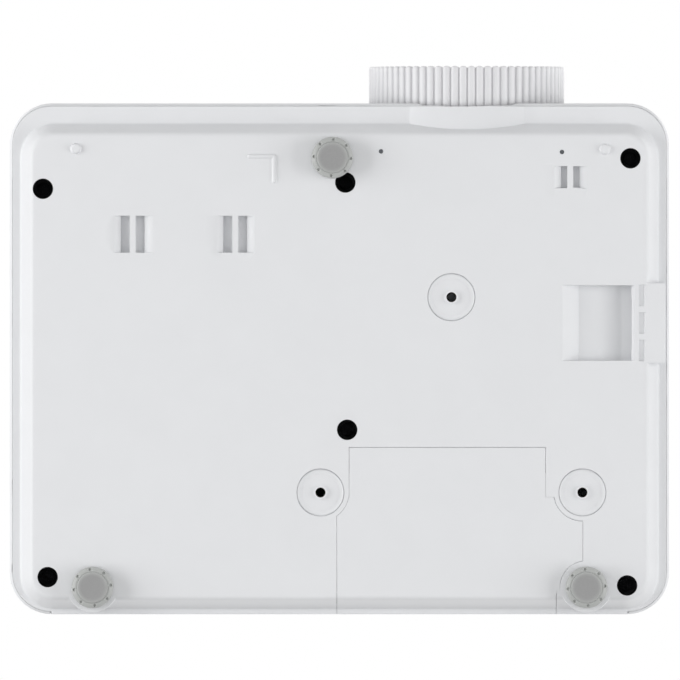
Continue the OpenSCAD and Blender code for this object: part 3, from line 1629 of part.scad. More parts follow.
// The two rods that the pickup slides on
module guide_pair() {
  mech() for (y = [-1, 1])
    rod_x(rod_near - 1, y * rod_off, sled_z + rod_r, rod_r, rod_far - rod_near + 2);
}

module tray_bezel() {
  color("white") difference() {
    block([drive_x - bezel_w / 2, front_y, bezel_z],
       [drive_x + bezel_w / 2, tray_front, bezel_z + bezel_h]);
    block([drive_x + eject_right - eject_w / 2 - slide_gap, front_y - over,
       bezel_z + bezel_h / 2 - eject_h / 2 - slide_gap],
       [drive_x + eject_right + eject_w / 2 + slide_gap, tray_front + over,
       bezel_z + bezel_h / 2 + eject_h / 2 + slide_gap]);
  }
}

module eject_button() {
  z = bezel_z + bezel_h / 2;
  color("gainsboro")
    block([drive_x + eject_right - eject_w / 2, front_y - 0.1, z - eject_h / 2],
       [drive_x + eject_right + eject_w / 2, tray_front - eject_travel - slide_gap,
       z + eject_h / 2]);
}

module tray_rails() {
  color("silver") for (side = [-1, 1])
    translate([drive_x + side * (tray_half + slide_gap + rail_w / 2), 0, rail_z])
      translate([-rail_w / 2, drive_front + 0.4, 0])
        cube([rail_w, tray_len - 6, rail_h]);
}

module spindle_hub() {
  p = [drive_x, tray_y];
  color("lightgray") {
    at(p, tray_z + 0.4) cylinder(r = hub_clamp_r - 0.6, h = 2);
    at(p, tray_z + 2) cylinder(r = spindle_r, h = deck_z - tray_z - 1.5);
    at(p, deck_z - 1) cylinder(r = hub_clamp_r, h = 1.2);
    at(p, deck_z) cylinder(r1 = hub_clamp_r - 0.4, r2 = hub_clamp_r - 1.4, h = 1.7);
  }
}

module guide_rods() {
  color("silver") guide_pair();
}

module lead_screw() {
  color("gold") mech()
    rod_x(rod_near - 1, -lead_off, sled_z + rod_r, lead_r, rod_far - rod_near + 0.9);
}

module pickup_sled() {
  x0 = sled_near - sled_l / 2;
  lens_r = 3;
  color("dimgray") mech() difference() {
    union() {
      block([x0, -rod_off - 2.2, sled_z - 0.8],
         [x0 + sled_l, rod_off + 2.2, sled_z + 2 * rod_r + 0.7]);
      translate([sled_near, 0, sled_z + 2]) cylinder(r = lens_r, h = 2.2);
    }
    for (y = [-1, 1])
      rod_x(x0 - over, y * rod_off, sled_z + rod_r, rod_r + thread_gap, sled_l + 2 * over);
    rod_x(x0 - over, -lead_off, sled_z + rod_r, lead_r + fit_gap, sled_l + 2 * over);
  }
}

// Keys

// One key: children are its plan, grown by $grow for its flange
module key(p) {
  color("gainsboro") at(p, 0) {
    translate([0, 0, flange_top - over]) linear_extrude(case_h + key_up - flange_top + over)
      children(0);
    translate([0, 0, flange_top - key_flange]) linear_extrude(key_flange) children(1);
  }
}

module round_key(p, r) {
  key(p) {
    circle(r);
    circle(r + 0.4 + key_run);
  }
}

module arrow_key(a) {
  key([keypad_x, keypad_y]) {
    rotate(a) arrow_plan(0);
    rotate(a) arrow_plan(0.45);
  }
}

module bar_key(side) {
  key([keypad_x + side * key_off, keypad_y - arrow_r / 2]) {
    round_rect(key_l, key_w, key_w / 2 - 0.01);
    round_rect(key_l + 1.4, key_w + 1.4, key_w / 2);
  }
}

module power_button() { round_key([keypad_x - key_off, keypad_y + arrow_r / 2], power_r); }
module menu_button() { bar_key(-1); }
module source_button() { bar_key(1); }
module up_button() { arrow_key(90); }
module down_button() { arrow_key(270); }
module left_button() { arrow_key(180); }
module right_button() { arrow_key(0); }
module enter_button() { round_key([keypad_x, keypad_y], enter_r); }

lower_case();
upper_case();
lamp_door();
rear_panel();
rear_grille();
front_grille();
intake_grille();
exhaust_grille();
ir_window();
chassis_frame();
case_screws();
small_screws();
mount_inserts();
foot_nuts();
front_foot_knob();
left_foot_knob();
right_foot_knob();
front_foot_pad();
left_foot_pad();
right_foot_pad();
focus_ring();
lens_barrel();
lens_cell();
front_lens();
zoom_ring();
optical_engine();
chip_board();
chip_heatsink();
color_wheel();
color_wheel_motor();
lamp_housing();
lamp_reflector();
fan_frame();
fan_rotor();
speaker();
main_board();
power_board();
keypad_board();
port_shells();
phono_sockets();
ac_inlet();
ac_pins();
drive_case();
drive_cover();
disc_tray();
tray_bezel();
tray_rails();
eject_button();
spindle_hub();
pickup_sled();
guide_rods();
lead_screw();
power_button();
menu_button();
source_button();
up_button();
down_button();
left_button();
right_button();
enter_button();
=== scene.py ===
"""Finishes of a projector with a built-in disc player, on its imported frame."""

import json
import math

import bmesh
import bpy
import numpy as np

from mathutils.bvhtree import BVHTree
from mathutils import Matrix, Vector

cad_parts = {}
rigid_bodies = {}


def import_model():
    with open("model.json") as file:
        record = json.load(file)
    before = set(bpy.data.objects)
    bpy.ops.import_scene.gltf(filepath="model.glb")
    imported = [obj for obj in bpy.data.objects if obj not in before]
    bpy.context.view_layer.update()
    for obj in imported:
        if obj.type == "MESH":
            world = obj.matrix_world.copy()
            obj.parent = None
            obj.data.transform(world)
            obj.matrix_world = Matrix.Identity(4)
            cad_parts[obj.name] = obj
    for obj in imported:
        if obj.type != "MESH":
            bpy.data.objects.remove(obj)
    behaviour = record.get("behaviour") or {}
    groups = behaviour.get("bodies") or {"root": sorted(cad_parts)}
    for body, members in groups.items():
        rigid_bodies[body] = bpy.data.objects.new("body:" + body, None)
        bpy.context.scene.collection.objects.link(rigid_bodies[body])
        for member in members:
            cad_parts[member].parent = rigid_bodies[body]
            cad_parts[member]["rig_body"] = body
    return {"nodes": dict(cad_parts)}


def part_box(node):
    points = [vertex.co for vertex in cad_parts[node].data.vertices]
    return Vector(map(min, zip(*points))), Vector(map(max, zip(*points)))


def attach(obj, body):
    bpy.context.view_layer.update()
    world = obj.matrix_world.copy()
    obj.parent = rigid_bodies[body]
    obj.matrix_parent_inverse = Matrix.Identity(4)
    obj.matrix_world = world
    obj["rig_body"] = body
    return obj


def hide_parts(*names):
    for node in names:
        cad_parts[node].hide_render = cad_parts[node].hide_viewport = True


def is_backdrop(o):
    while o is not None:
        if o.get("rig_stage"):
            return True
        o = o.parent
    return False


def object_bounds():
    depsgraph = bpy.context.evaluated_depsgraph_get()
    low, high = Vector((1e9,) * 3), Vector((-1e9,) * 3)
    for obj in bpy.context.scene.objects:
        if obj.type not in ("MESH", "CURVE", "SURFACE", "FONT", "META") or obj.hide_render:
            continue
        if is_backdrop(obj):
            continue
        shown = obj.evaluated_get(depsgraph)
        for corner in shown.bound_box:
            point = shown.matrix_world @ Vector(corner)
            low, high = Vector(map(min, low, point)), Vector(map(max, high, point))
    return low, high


bl_info = {
    "name": "Disc projector finishes",
    "version": (1, 0, 0),
    "blender": (4, 5, 0),
    "location": "View3D > Sidebar > Projector",
    "description": "Surfaces, fine pieces and studio of a projector with a disc tray",
    "category": "Object",
}

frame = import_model()
CAD_LOW, CAD_HIGH = (np.array(corner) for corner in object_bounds())
NODES = frame["nodes"]
MM = 0.001
# width of the photo in pixels, and its scale at the case's lower edge
PHOTO_WIDTH = 680
MM_PER_PIXEL = 0.4791


# -------------------- settings


def hex_field(name, description, default):
    """Field for one colour."""
    return bpy.props.StringProperty(name=name, description=description, default=default)


class ProjectorColours(bpy.types.PropertyGroup):
    """Colours of the moulded and coated finishes, as sRGB hex values"""

    shell: hex_field("Shells", "White of the lower and upper case", "#E3E4E6")
    ring: hex_field("Focus ring", "White of the focus ring", "#E4E4E6")
    foot: hex_field("Foot rims", "Grey of the screw feet", "#B2B4B2")
    pad: hex_field("Foot pads", "Grey of the rubber pads", "#9A9A9A")
    trim: hex_field("Grilles", "Light grey of grilles and keys", "#CDCFD2")
    dark: hex_field("Dark plastic", "Black of sockets and screws", "#141416")


class ProjectorSizes(bpy.types.PropertyGroup):
    """Sizes of the finish that a user may change"""

    edge: bpy.props.FloatProperty(
        name="Shell edge", description="Rounding of the shells' edges",
        default=0.35 * MM, min=0.05 * MM, max=1 * MM, unit="LENGTH", precision=5,
    )
    fine_edge: bpy.props.FloatProperty(
        name="Small edge", description="Rounding of edges on small pieces",
        default=0.15 * MM, min=0.03 * MM, max=0.5 * MM, unit="LENGTH", precision=5,
    )
    camera_distance: bpy.props.FloatProperty(
        name="Camera distance", description="From the camera up to the case's lower edge",
        default=10.0, min=1.0, max=20.0, unit="LENGTH",
    )
    frame_width: bpy.props.FloatProperty(
        name="Frame width", description="What the photo's width spans at that edge",
        default=PHOTO_WIDTH * MM_PER_PIXEL * MM, min=0.2, max=1.0, unit="LENGTH",
    )


# -------------------- materials


def linear(hex_colour):
    """sRGB hex as the linear colour that a shader's socket takes."""
    parts = [int(hex_colour[i:i + 2], 16) / 255 for i in (1, 3, 5)]
    return [p / 12.92 if p <= 0.04045 else ((p + 0.055) / 1.055) ** 2.4 for p in parts] + [1.0]


def add(tree, kind, links=None, **settings):
    """Adds one node: links maps its input to a socket or a value, settings are its own fields."""
    made = tree.nodes.new("ShaderNode" + kind)
    for field, value in settings.items():
        setattr(made, field, value)
    for name, value in (links or {}).items():
        if isinstance(value, bpy.types.NodeSocket):
            tree.links.new(value, made.inputs[name])
        else:
            made.inputs[name].default_value = value
    return made


def either(tree, *shares):
    """Largest of some shares: 1 where any of them is 1."""
    most = shares[0]
    for share in shares[1:]:
        most = add(tree, "Math", {0: most, 1: share}, operation="MAXIMUM").outputs["Value"]
    return most


def bare_tree(owner):
    """Shader tree of a new material or world, emptied."""
    owner.use_nodes = True
    owner.node_tree.nodes.clear()
    return owner.node_tree


def material(name, hex_colour, roughness, metallic=0.0, ior=1.5):
    """New material with a Principled shader that holds its uniform values."""
    made = bpy.data.materials.new(name)
    tree = bare_tree(made)
    shader = add(tree, "BsdfPrincipled", {
        "Base Color": linear(hex_colour), "Roughness": roughness, "Metallic": metallic, "IOR": ior,
    })
    add(tree, "OutputMaterial", {"Surface": shader.outputs["BSDF"]})
    return made, tree, shader


def noise(tree, size_mm, detail=2.0):
    """Noise over the object's own place, with features of about size_mm."""
    place = add(tree, "TexCoord").outputs["Object"]
    return add(tree, "TexNoise", {"Vector": place, "Scale": 1 / (size_mm * MM), "Detail": detail})


def grain(tree, shader, size_mm, depth_mm):
    """Gives the shader a bumpy skin: size_mm wide and depth_mm deep."""
    height = noise(tree, size_mm).outputs["Fac"]
    bump = add(tree, "Bump", {"Height": height, "Strength": 1.0, "Distance": depth_mm * MM})
    tree.links.new(bump.outputs["Normal"], shader.inputs["Normal"])


def blend(tree, share, first, second):
    """Colour between first and second, each a hex colour or a socket."""
    mix = add(tree, "Mix", {"Factor": share}, data_type="RGBA")
    for socket in mix.inputs:
        if socket.type == "RGBA":
            colour = first if socket.name == "A" else second
            if isinstance(colour, bpy.types.NodeSocket):
                tree.links.new(colour, socket)
            else:
                socket.default_value = linear(colour)
    return [o for o in mix.outputs if o.type == "RGBA"][0]


def mottle(tree, shader, first, second, size_mm):
    """Lets the colour wander between two hex colours over size_mm."""
    colour = blend(tree, noise(tree, size_mm, 3.0).outputs["Fac"], first, second)
    tree.links.new(colour, shader.inputs["Base Color"])
    return colour


def tinted(hex_colour, share):
    """A hex colour made darker, or lighter where share is above 1."""
    parts = [min(255, round(int(hex_colour[i:i + 2], 16) * share)) for i in (1, 3, 5)]
    return "#" + "".join(f"{p:02X}" for p in parts)


def skinned(name, colour, roughness, skin, wander=None, metallic=0.0):
    """Material with a bumpy skin, given as the bumps' size and depth in mm. Its colour may
    wander between a darker and a lighter share of itself, over the third value in mm."""
    made, tree, shader = material(name, colour, roughness, metallic)
    if wander:
        dark, light, size_mm = wander
        mottle(tree, shader, tinted(colour, dark), tinted(colour, light), size_mm)
    grain(tree, shader, *skin)
    return made


def spark_eroded_abs(name, colour):
    """Moulded ABS from a spark-eroded mould: matt, with a fine even grain. The real grain is
    about 0.1 mm; 0.9 mm is the finest that the picture can show."""
    return skinned(name, colour, 0.5, skin=(0.9, 0.006), wander=(0.993, 1.007, 18))


def smooth_abs(name, colour, roughness=0.34):
    """Moulded ABS from a polished mould: a soft sheen, almost no grain."""
    return skinned(name, colour, roughness, skin=(0.6, 0.002), wander=(0.99, 1.01, 9))


def black_nylon(name, colour):
    """Moulded glass-filled nylon: dark, dry, with a slightly cloudy skin."""
    return skinned(name, colour, 0.55, skin=(0.4, 0.006), wander=(0.8, 1.5, 2.5))


def moulded_rubber(name, colour, rim):
    """Moulded thermoplastic rubber: soft, dull and faintly speckled. Towards its edge it is
    painted lighter, into the grey of the rim: a painted highlight of its rounded edge."""
    made, tree, shader = material(name, colour, 0.75)
    speckled = mottle(tree, shader, tinted(colour, 0.97), tinted(colour, 1.03), 0.8)
    # painted highlight: towards the pad's rounded edge its colour goes lighter, into the rim's grey
    share = add(tree, "Attribute", attribute_name="painted_edge_highlight").outputs["Fac"]
    tree.links.new(blend(tree, share, speckled, rim), shader.inputs["Base Color"])
    grain(tree, shader, 0.5, 0.01)
    return made


def zinc_plate(name, colour="#B9BBBE"):
    """Zinc-plated sheet steel: grey metal with a drifting satin gloss."""
    made, tree, shader = material(name, colour, 0.35, metallic=1.0)
    gloss = add(tree, "MapRange", {
        "Value": noise(tree, 6, 4.0).outputs["Fac"], "To Min": 0.27, "To Max": 0.45,
    })
    tree.links.new(gloss.outputs["Result"], shader.inputs["Roughness"])
    grain(tree, shader, 1.5, 0.004)
    return made


def turned_brass(name, colour="#C9A45B"):
    """Turned brass: yellow metal, or blackened, with fine rings from the lathe."""
    return skinned(name, colour, 0.3, skin=(0.25, 0.004), metallic=1.0)


def coated_glass(name):
    """Ground glass with an anti-reflection coat: clear, with a violet-green gleam."""
    made, _, shader = material(name, "#F4F8FF", 0.02, ior=1.52)
    shader.inputs["Transmission Weight"].default_value = 1.0
    shader.inputs["Thin Film Thickness"].default_value = 420.0
    shader.inputs["Thin Film IOR"].default_value = 1.38
    return made


def printed_board(name, colour):
    """Glass-epoxy circuit board under solder resist: semi-gloss with faint copper tracks."""
    made, tree, shader = material(name, colour, 0.3)
    place = add(tree, "TexCoord").outputs["Object"]
    # tracks about 1 mm wide, laid in a square weave
    tracks = add(tree, "TexBrick", {
        "Vector": place, "Scale": 1 / (14 * MM), "Mortar Size": 0.03,
        "Color1": linear(colour), "Color2": linear(tinted(colour, 0.9)),
        "Mortar": linear(tinted(colour, 1.35)),
    })
    tree.links.new(tracks.outputs["Color"], shader.inputs["Base Color"])
    return made


# -------------------- meshes

# in mm: corners that are one, corners that lie on a cut, and heights that are one
MERGE = 0.002
ON_PLANE = 0.0005
SAME_LEVEL = 0.01
# faces that turn by fewer degrees than this lie in one plane
ONE_PLANE = 0.3
# largest share of the room beside an edge that its rounding may take
ROOM_SHARE = 0.45
# what is left of the rounding where it folds over, try by try
NARROWER = (0.5, 0.4, 0.3, 0.0, 0.0)
# width in mm to which a seam is drawn
LINE_GAP = 0.1


def lay(name, finish):
    """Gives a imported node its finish."""
    NODES[name].data.materials.clear()
    NODES[name].data.materials.append(finish)


def placed(name, data):
    """New object of the scene, round its data."""
    made = bpy.data.objects.new(name, data)
    bpy.context.scene.collection.objects.link(made)
    return made


def in_mm(corners):
    """A box's two corners, in mm."""
    return [np.array(corner) / MM for corner in corners]


def corners_mm(name):
    """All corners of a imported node, in mm."""
    return np.array([v.co for v in NODES[name].data.vertices]) / MM


def axle(low, high, axis, start=0.0):
    """Point on a round node's axis, at start along it, in metres, and its radius in mm."""
    centre = (low + high) / 2
    centre[axis] = start
    across = 1 if axis == 0 else 0
    return centre * MM, (high[across] - low[across]) / 2


def circle(count):
    """Angles of count points round a full turn."""
    return np.linspace(0, 2 * np.pi, count, endpoint=False)


def flat_level(name):
    """Height of the face of a node that looks straight down and has the most area."""
    areas = {}
    for face in NODES[name].data.polygons:
        if face.normal.z < -0.999:
            level = round(face.center.z, 5)
            areas[level] = areas.get(level, 0.0) + face.area
    return max(areas, key=areas.get)


def softened(name, finish, edge=None, cell=8.0, angle=32.0, beside=None, sink=0.0, press=None):
    """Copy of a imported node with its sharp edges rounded: the copy's triangles are merged, cut
    along planes cell mm apart so that no face gets large, and joined within each such cell.
    The rounding then runs along every edge that turns by more than angle, as wide as the
    faces beside it allow; where no edge is given, it is the small one. The gap to a node
    named in beside is drawn to LINE_GAP, the top is lowered by sink, and what hangs below
    the level press is pushed up to it."""
    edge = edge or sizes().fine_edge
    source = NODES[name]
    low, high = (np.array(corner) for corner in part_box(name))
    form = bmesh.new()
    form.from_mesh(source.data)
    for corner in form.verts:
        if press is not None and corner.co.z < press:
            corner.co.z = press
    bmesh.ops.remove_doubles(form, verts=form.verts, dist=MERGE * MM)
    for corner in form.verts:
        corner.co.z -= sink if corner.co.z > high[2] - SAME_LEVEL * MM else 0.0
    for axis in range(3):
        normal = [float(axis == k) for k in range(3)]
        for place in np.arange(low[axis] + cell * MM / 2, high[axis], cell * MM):
            cut = bmesh.ops.bisect_plane(
                form, geom=form.verts[:] + form.edges[:] + form.faces[:], dist=ON_PLANE * MM,
                plane_co=[place * n for n in normal], plane_no=normal,
            )
            for item in cut["geom_cut"]:
                if isinstance(item, bmesh.types.BMEdge):
                    item.seam = True
    flat = [e for e in form.edges if not e.seam and len(e.link_faces) == 2]
    bmesh.ops.dissolve_limit(form, angle_limit=math.radians(ONE_PLANE), verts=[], edges=flat)
    if beside:
        draw_close(form, beside)
    weight = form.edges.layers.float.new("bevel_weight_edge")
    for e in form.edges:
        if len(e.link_faces) == 2 and e.calc_face_angle(0.0) > math.radians(angle):
            room = min(face.calc_area() / e.calc_length() for face in e.link_faces)
            e[weight] = min(1.0, ROOM_SHARE * room / edge)
    mesh = bpy.data.meshes.new(name + "_soft")
    made = placed(name + "_soft", mesh)
    bevel = made.modifiers.new("edges", "BEVEL")
    bevel.width = edge
    bevel.segments = 2
    bevel.limit_method = "WEIGHT"
    bevel.use_clamp_overlap = False
    bevel.harden_normals = True
    tree = BVHTree.FromBMesh(form)
    form.faces.ensure_lookup_table()
    for share in NARROWER:
        for e in form.edges:
            e.smooth = e[weight] > 0.02 or e.calc_face_angle(0.0) < math.radians(angle)
        form.to_mesh(mesh)
        narrow = folded(made, tree, form, edge)
        if not narrow:
            break
        for e in narrow:
            e[weight] *= share
    form.free()
    mesh.polygons.foreach_set("use_smooth", np.ones(len(mesh.polygons), bool))
    if "custom_normal" in mesh.attributes:
        mesh.attributes.remove(mesh.attributes["custom_normal"])
    mesh.materials.append(finish)
    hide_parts(name)
    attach(made, source["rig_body"])


def draw_close(form, beside):
    """Moves the upright walls of form that face a neighbour across a thin gap, until LINE_GAP
    is left between the two."""
    other = bmesh.new()
    other.from_mesh(NODES[beside].data)
    tree = BVHTree.FromBMesh(other)
    other.free()
    moves = {}
    for face in form.faces:
        if abs(face.normal.z) > 0.3:
            continue
        start = face.calc_center_median() + face.normal * 1e-6
        gap = tree.ray_cast(start, face.normal, 0.4 * MM)[3]
        if gap is None or gap < LINE_GAP * MM:
            continue
        for corner in face.verts:
            moves.setdefault(corner, []).append((face.normal.copy(), gap - LINE_GAP * MM))
    for corner, pulls in moves.items():
        way = sum((normal for normal, _ in pulls), Vector()).normalized()
        corner.co += way * max(gap for _, gap in pulls) / min(way.dot(n) for n, _ in pulls)


def folded(made, tree, form, edge):
    """Edges of form round the places where the rounded faces fold over or leave the form."""
    done = made.evaluated_get(bpy.context.evaluated_depsgraph_get())
    rounded_mesh = done.to_mesh()
    edges = set()
    for face in rounded_mesh.polygons:
        if face.area < 1e-12:
            continue
        _, normal, index, gap = tree.find_nearest(face.center)
        corners = [rounded_mesh.vertices[v].co for v in face.vertices]
        far = max(tree.find_nearest(corner)[3] for corner in corners) if gap > 0.2 * edge else gap
        if normal.dot(face.normal) < 0.05 or gap > 0.6 * edge or far > 0.8 * edge:
            for corner in form.faces[index].verts:
                edges.update(corner.link_edges)
    done.to_mesh_clear()
    return edges


def surface(name, points, wrap=(False, False), close_start=False, close_end=False):
    """Mesh of a grid of points [i, j]: wrap joins the last i to the first, or the last j to
    the first, and close_start or close_end fills the ring at the first or last j."""
    rows, cols = points.shape[:2]
    index = np.arange(rows * cols).reshape(rows, cols)
    i = np.arange(rows if wrap[0] else rows - 1)
    j = np.arange(cols if wrap[1] else cols - 1)
    ii, jj = np.meshgrid(i, j, indexing="ij")
    i2, j2 = (ii + 1) % rows, (jj + 1) % cols
    quads = np.stack([index[ii, jj], index[i2, jj], index[i2, j2], index[ii, j2]], -1)
    faces = quads.reshape(-1, 4).tolist()
    if close_start:
        faces.append(index[::-1, 0].tolist())
    if close_end:
        faces.append(index[:, -1].tolist())
    mesh = bpy.data.meshes.new(name)
    mesh.from_pydata(points.reshape(-1, 3).tolist(), [], faces)
    mesh.polygons.foreach_set("use_smooth", np.ones(len(mesh.polygons), bool))
    mesh.update()
    return placed(name, mesh)


def about(centre, along, angle, radius, place):
    """Points round a line: at angle and radius from it, and at place along it from centre."""
    along = np.array(along, float)
    side = np.array((1.0, 0.0, 0.0)) if abs(along[0]) < 0.5 else np.array((0.0, 1.0, 0.0))
    side = side - along * side.dot(along)
    side = side / np.linalg.norm(side)
    up = np.cross(along, side)
    angle, radius, place = np.broadcast_arrays(angle, radius, place)
    return (np.array(centre) + place[..., None] * along
            + radius[..., None] * (np.cos(angle)[..., None] * side + np.sin(angle)[..., None] * up))


def turned(name, centre, along, profile, samples=96, closed=False):
    """Surface of revolution: a profile of [radius, place] rows carried round a line. The ends
    are filled, or joined to each other where the profile is closed."""
    profile = np.array(profile, float) * MM
    angle = circle(samples)[:, None]
    points = about(centre, along, angle, profile[None, :, 0], profile[None, :, 1])
    return surface(name, points, (True, closed), not closed, not closed)


def threaded(name, centre, along, start, levels, sides, radius, pitch, depth, taper=0.0):
    """Screw: its radius follows a triangle wave, depth deep, along a helix. Its rings lie at
    levels beyond start, and each is narrower by its taper, all in mm."""
    angle = circle(sides)[:, None]
    phase = (levels / pitch - angle / (2 * np.pi)) % 1.0
    wave = (radius - (depth * np.abs(2 * phase - 1) + taper)) * MM
    points = about(centre, along, angle, wave, (start + levels) * MM)
    return surface(name, points, (True, False), True, True)


def dressed(obj, node, finish, sharp=40.0):
    """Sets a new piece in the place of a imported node: it rides with that node's body."""
    obj.data.materials.append(finish)
    obj.data.set_sharp_from_angle(angle=math.radians(sharp))
    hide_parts(node)
    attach(obj, NODES[node]["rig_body"])


def rider(obj, body, finish, sharp=40.0):
    """Adds a new small piece that rides on a body."""
    obj.data.materials.append(finish)
    obj.data.set_sharp_from_angle(angle=math.radians(sharp))
    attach(obj, body)


def rounded(points, radius, steps=4):
    """Open outline whose inner corners are replaced by arcs drawn as quadratic curves."""
    points = np.array(points, float)
    out = [points[0]]
    for before, here, after in zip(points[:-2], points[1:-1], points[2:]):
        a, b = before - here, after - here
        cut_a = min(radius, 0.45 * np.linalg.norm(a))
        cut_b = min(radius, 0.45 * np.linalg.norm(b))
        start = here + a / np.linalg.norm(a) * cut_a
        stop = here + b / np.linalg.norm(b) * cut_b
        t = np.linspace(0, 1, steps)[:, None]
        out.extend((1 - t) ** 2 * start + 2 * t * (1 - t) * here + t ** 2 * stop)
    out.append(points[-1])
    return np.array(out)


# -------------------- fine pieces

# all in mm
RIB_WIDTH = 1.9
PEG_R = 2.65
PEG_RISE = 1.8
RECESS_FILLET = 2.4
RECESS_GROOVE = 0.3
SUNK = 0.04
ROOTED = 0.8
# the rib lies within this of the middle across, and the pegs beyond it
RIB_WITHIN = 80
# corners closer than this belong to one peg or insert
APART = 20


def middles(spots):
    """Middles of the groups of points that lie APART from each other."""
    groups = []
    for spot in spots:
        for group in groups:
            if np.linalg.norm(spot[:2] - group[0][:2]) < APART:
                group.append(spot)
                break
        else:
            groups.append([spot])
    return [(np.min(group, 0) + np.max(group, 0)) / 2 for group in groups]


def relief(name, mid, half, height, finish):
    """Raised figure on the underside: a height field over a square grid. Round the figure it
    lies SUNK into the case, and its edge ROOTED deeper, so that it grows out without a step."""
    side = np.linspace(-half, half, 81)
    u, v = np.meshgrid(side, side, indexing="ij")
    level = flat_level("lower_case") / MM + SUNK
    edge = np.maximum(np.abs(u), np.abs(v)) > 0.999 * half
    z = level - height(u, v) + ROOTED * edge
    made = surface(name, np.stack([mid[0] + u, mid[1] + v, z], -1) * MM)
    close_rows(made)
    rider(made, "case", finish, 80)


def underside_relief(finish):
    """L-shaped rib, whose height falls off with the fourth power of the distance from its
    line, two pegs, whose height falls off with the tenth power of the distance from their
    middle, and the hollow fillet round the floor of each ceiling screw recess. A thin groove
    is left between the fillet and the recess's wall."""
    level = flat_level("lower_case") / MM
    spots = corners_mm("lower_case")
    spots = spots[spots[:, 2] < level - 0.1]
    on_rib = np.abs(spots[:, 0]) < RIB_WITHIN
    low, high = spots[on_rib].min(0), spots[on_rib].max(0)
    half = (high[0] - low[0]) / 2 + 1
    arm = half - 1 - RIB_WIDTH / 2
    rise = level - low[2] + SUNK

    def rib(u, v):
        along_x = np.hypot(u - np.clip(u, -arm, arm), v + arm)
        along_y = np.hypot(u - arm, v - np.clip(v, -arm, arm))
        return rise * np.exp(-(np.minimum(along_x, along_y) / (0.5 * RIB_WIDTH)) ** 4)

    relief("corner_rib", (low + high) / 2, half, rib, finish)
    for k, mid in enumerate(middles(spots[~on_rib])):
        relief(f"peg_{k}", mid, PEG_R + 1,
               lambda u, v: PEG_RISE * np.exp(-(np.hypot(u, v) / (0.93 * PEG_R)) ** 10), finish)
    turn = np.radians(np.linspace(0, 90, 12))
    radius, floor = recess(level)
    outer = radius - RECESS_GROOVE
    floor -= level
    for k, mid in enumerate(middles(corners_mm("mount_inserts"))):
        curve = np.stack([
            outer - RECESS_FILLET * (1 - np.sin(turn)), level + floor * (0.15 + 0.85 * np.cos(turn)),
        ], -1)
        profile = np.concatenate([
            curve, [(outer, level + floor + 0.1), (outer - RECESS_FILLET, level + floor + 0.1)],
        ])
        centre = (*(mid[:2] * MM), 0.0)
        made = turned(f"recess_fillet_{k}", centre, (0, 0, 1), profile, closed=True)
        close_rows(made)
        rider(made, "case", finish, 60)


def recess(level):
    """Radius of the ceiling screw recesses and height of their floor, in mm: from the corners
    at the lower case's level, and the downward faces above it, round the foremost screw."""
    mid = min(middles(corners_mm("mount_inserts")), key=lambda m: m[1])
    spots = corners_mm("lower_case")
    spots = spots[np.abs(spots[:, 2] - level) < SAME_LEVEL]
    far = np.hypot(*(spots[:, :2] - mid[:2]).T)
    radius = float(np.median(far[(far > 8) & (far < 14)]))
    heights = []
    for face in NODES["lower_case"].data.polygons:
        x, y, z = (along / MM for along in face.center)
        if face.normal.z < -0.99 and z > level + 0.2 and math.hypot(x - mid[0], y - mid[1]) < 9:
            heights.append(z)
    return radius, min(heights)


RIBS = 72
# lengths in mm; each rib takes RIB_SHARE of its pitch
RIB_DEPTH = 1.25
RIB_SHARE = 0.86
RIB_END = 1.0
RING_FUNNEL = 10.7
RING_LIP = 3.4


def ribbed_ring(finish):
    """Focus ring: each of its ribs is half an ellipse across and stands RIB_DEPTH above the
    valleys; at the front the rib ends stand RIB_END ahead of the valleys, which scallops the
    edge. Inside, a funnel leads down to the bore."""
    low, high = in_mm(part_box("focus_ring"))
    centre, outer = axle(low, high, 1, low[1])
    length = high[1] - low[1]
    bore = outer - RING_FUNNEL
    wall_r = outer - RING_LIP
    valley = outer - RIB_DEPTH
    path = np.array([
        # radius, place, how far the rib moves it out, how far the valley moves it back
        (bore, length, 0, 0), (bore, 12, 0, 0), (bore + 0.1, 11.2, 0, 0), (bore + 0.5, 10.7, 0, 0),
        (bore + 3.6, 6.4, 0, 0),
        (wall_r - 0.4, 1.6, 0, 0), (wall_r, 1.0, 0, 0), (wall_r + 0.25, 0.6, 0, 0.2),
        (wall_r + 0.6, 0.25, 0, 0.5), (wall_r + 1.1, 0.05, 0, 0.8), (wall_r + 1.7, 0.0, 0, 1.0),
        (valley, 0.0, 0.2, 1.0), (valley, 0.05, 0.55, 1.0),
        (valley, 0.22, 0.8, 1.0), (valley, 0.5, 0.94, 1.0),
        (valley, 0.9, 1, 1.0), (valley, 2.2, 1, 0.4),
        (valley, 3.6, 1, 0), (valley, length / 2, 1, 0),
        (valley, length - 0.4, 1, 0), (valley - 0.3, length, 1, 0),
        (wall_r, length, 0, 0), (wall_r, 4.4, 0, 0), (wall_r - 0.4, 4.2, 0, 0),
        (bore + 2.7, 12.8, 0, 0), (bore + 2.5, 13.4, 0, 0), (bore + 2.5, length, 0, 0),
    ])
    per_rib = 16
    turn = np.arange(RIBS * per_rib)[:, None] / (RIBS * per_rib)
    across = (turn * RIBS) % 1.0 - 0.5
    crown = np.sqrt(np.clip(1 - (2 * across / RIB_SHARE) ** 2, 0, 1)) ** 0.8
    radius = path[:, 0] + path[:, 2] * RIB_DEPTH * crown
    place = path[:, 1] + path[:, 3] * RIB_END * (1 - crown)
    points = about(centre, (0, 1, 0), turn * 2 * np.pi, radius * MM, place * MM)
    made = surface("focus_ring_ribbed", points, (True, True))
    dressed(made, "focus_ring", finish, 50)


FOOT_DIMPLES = 8
# share of one pitch by which each foot's dimples are turned in the photo
FOOT_TURN = {"front": 0.07, "left": 0.84, "right": 0.9}
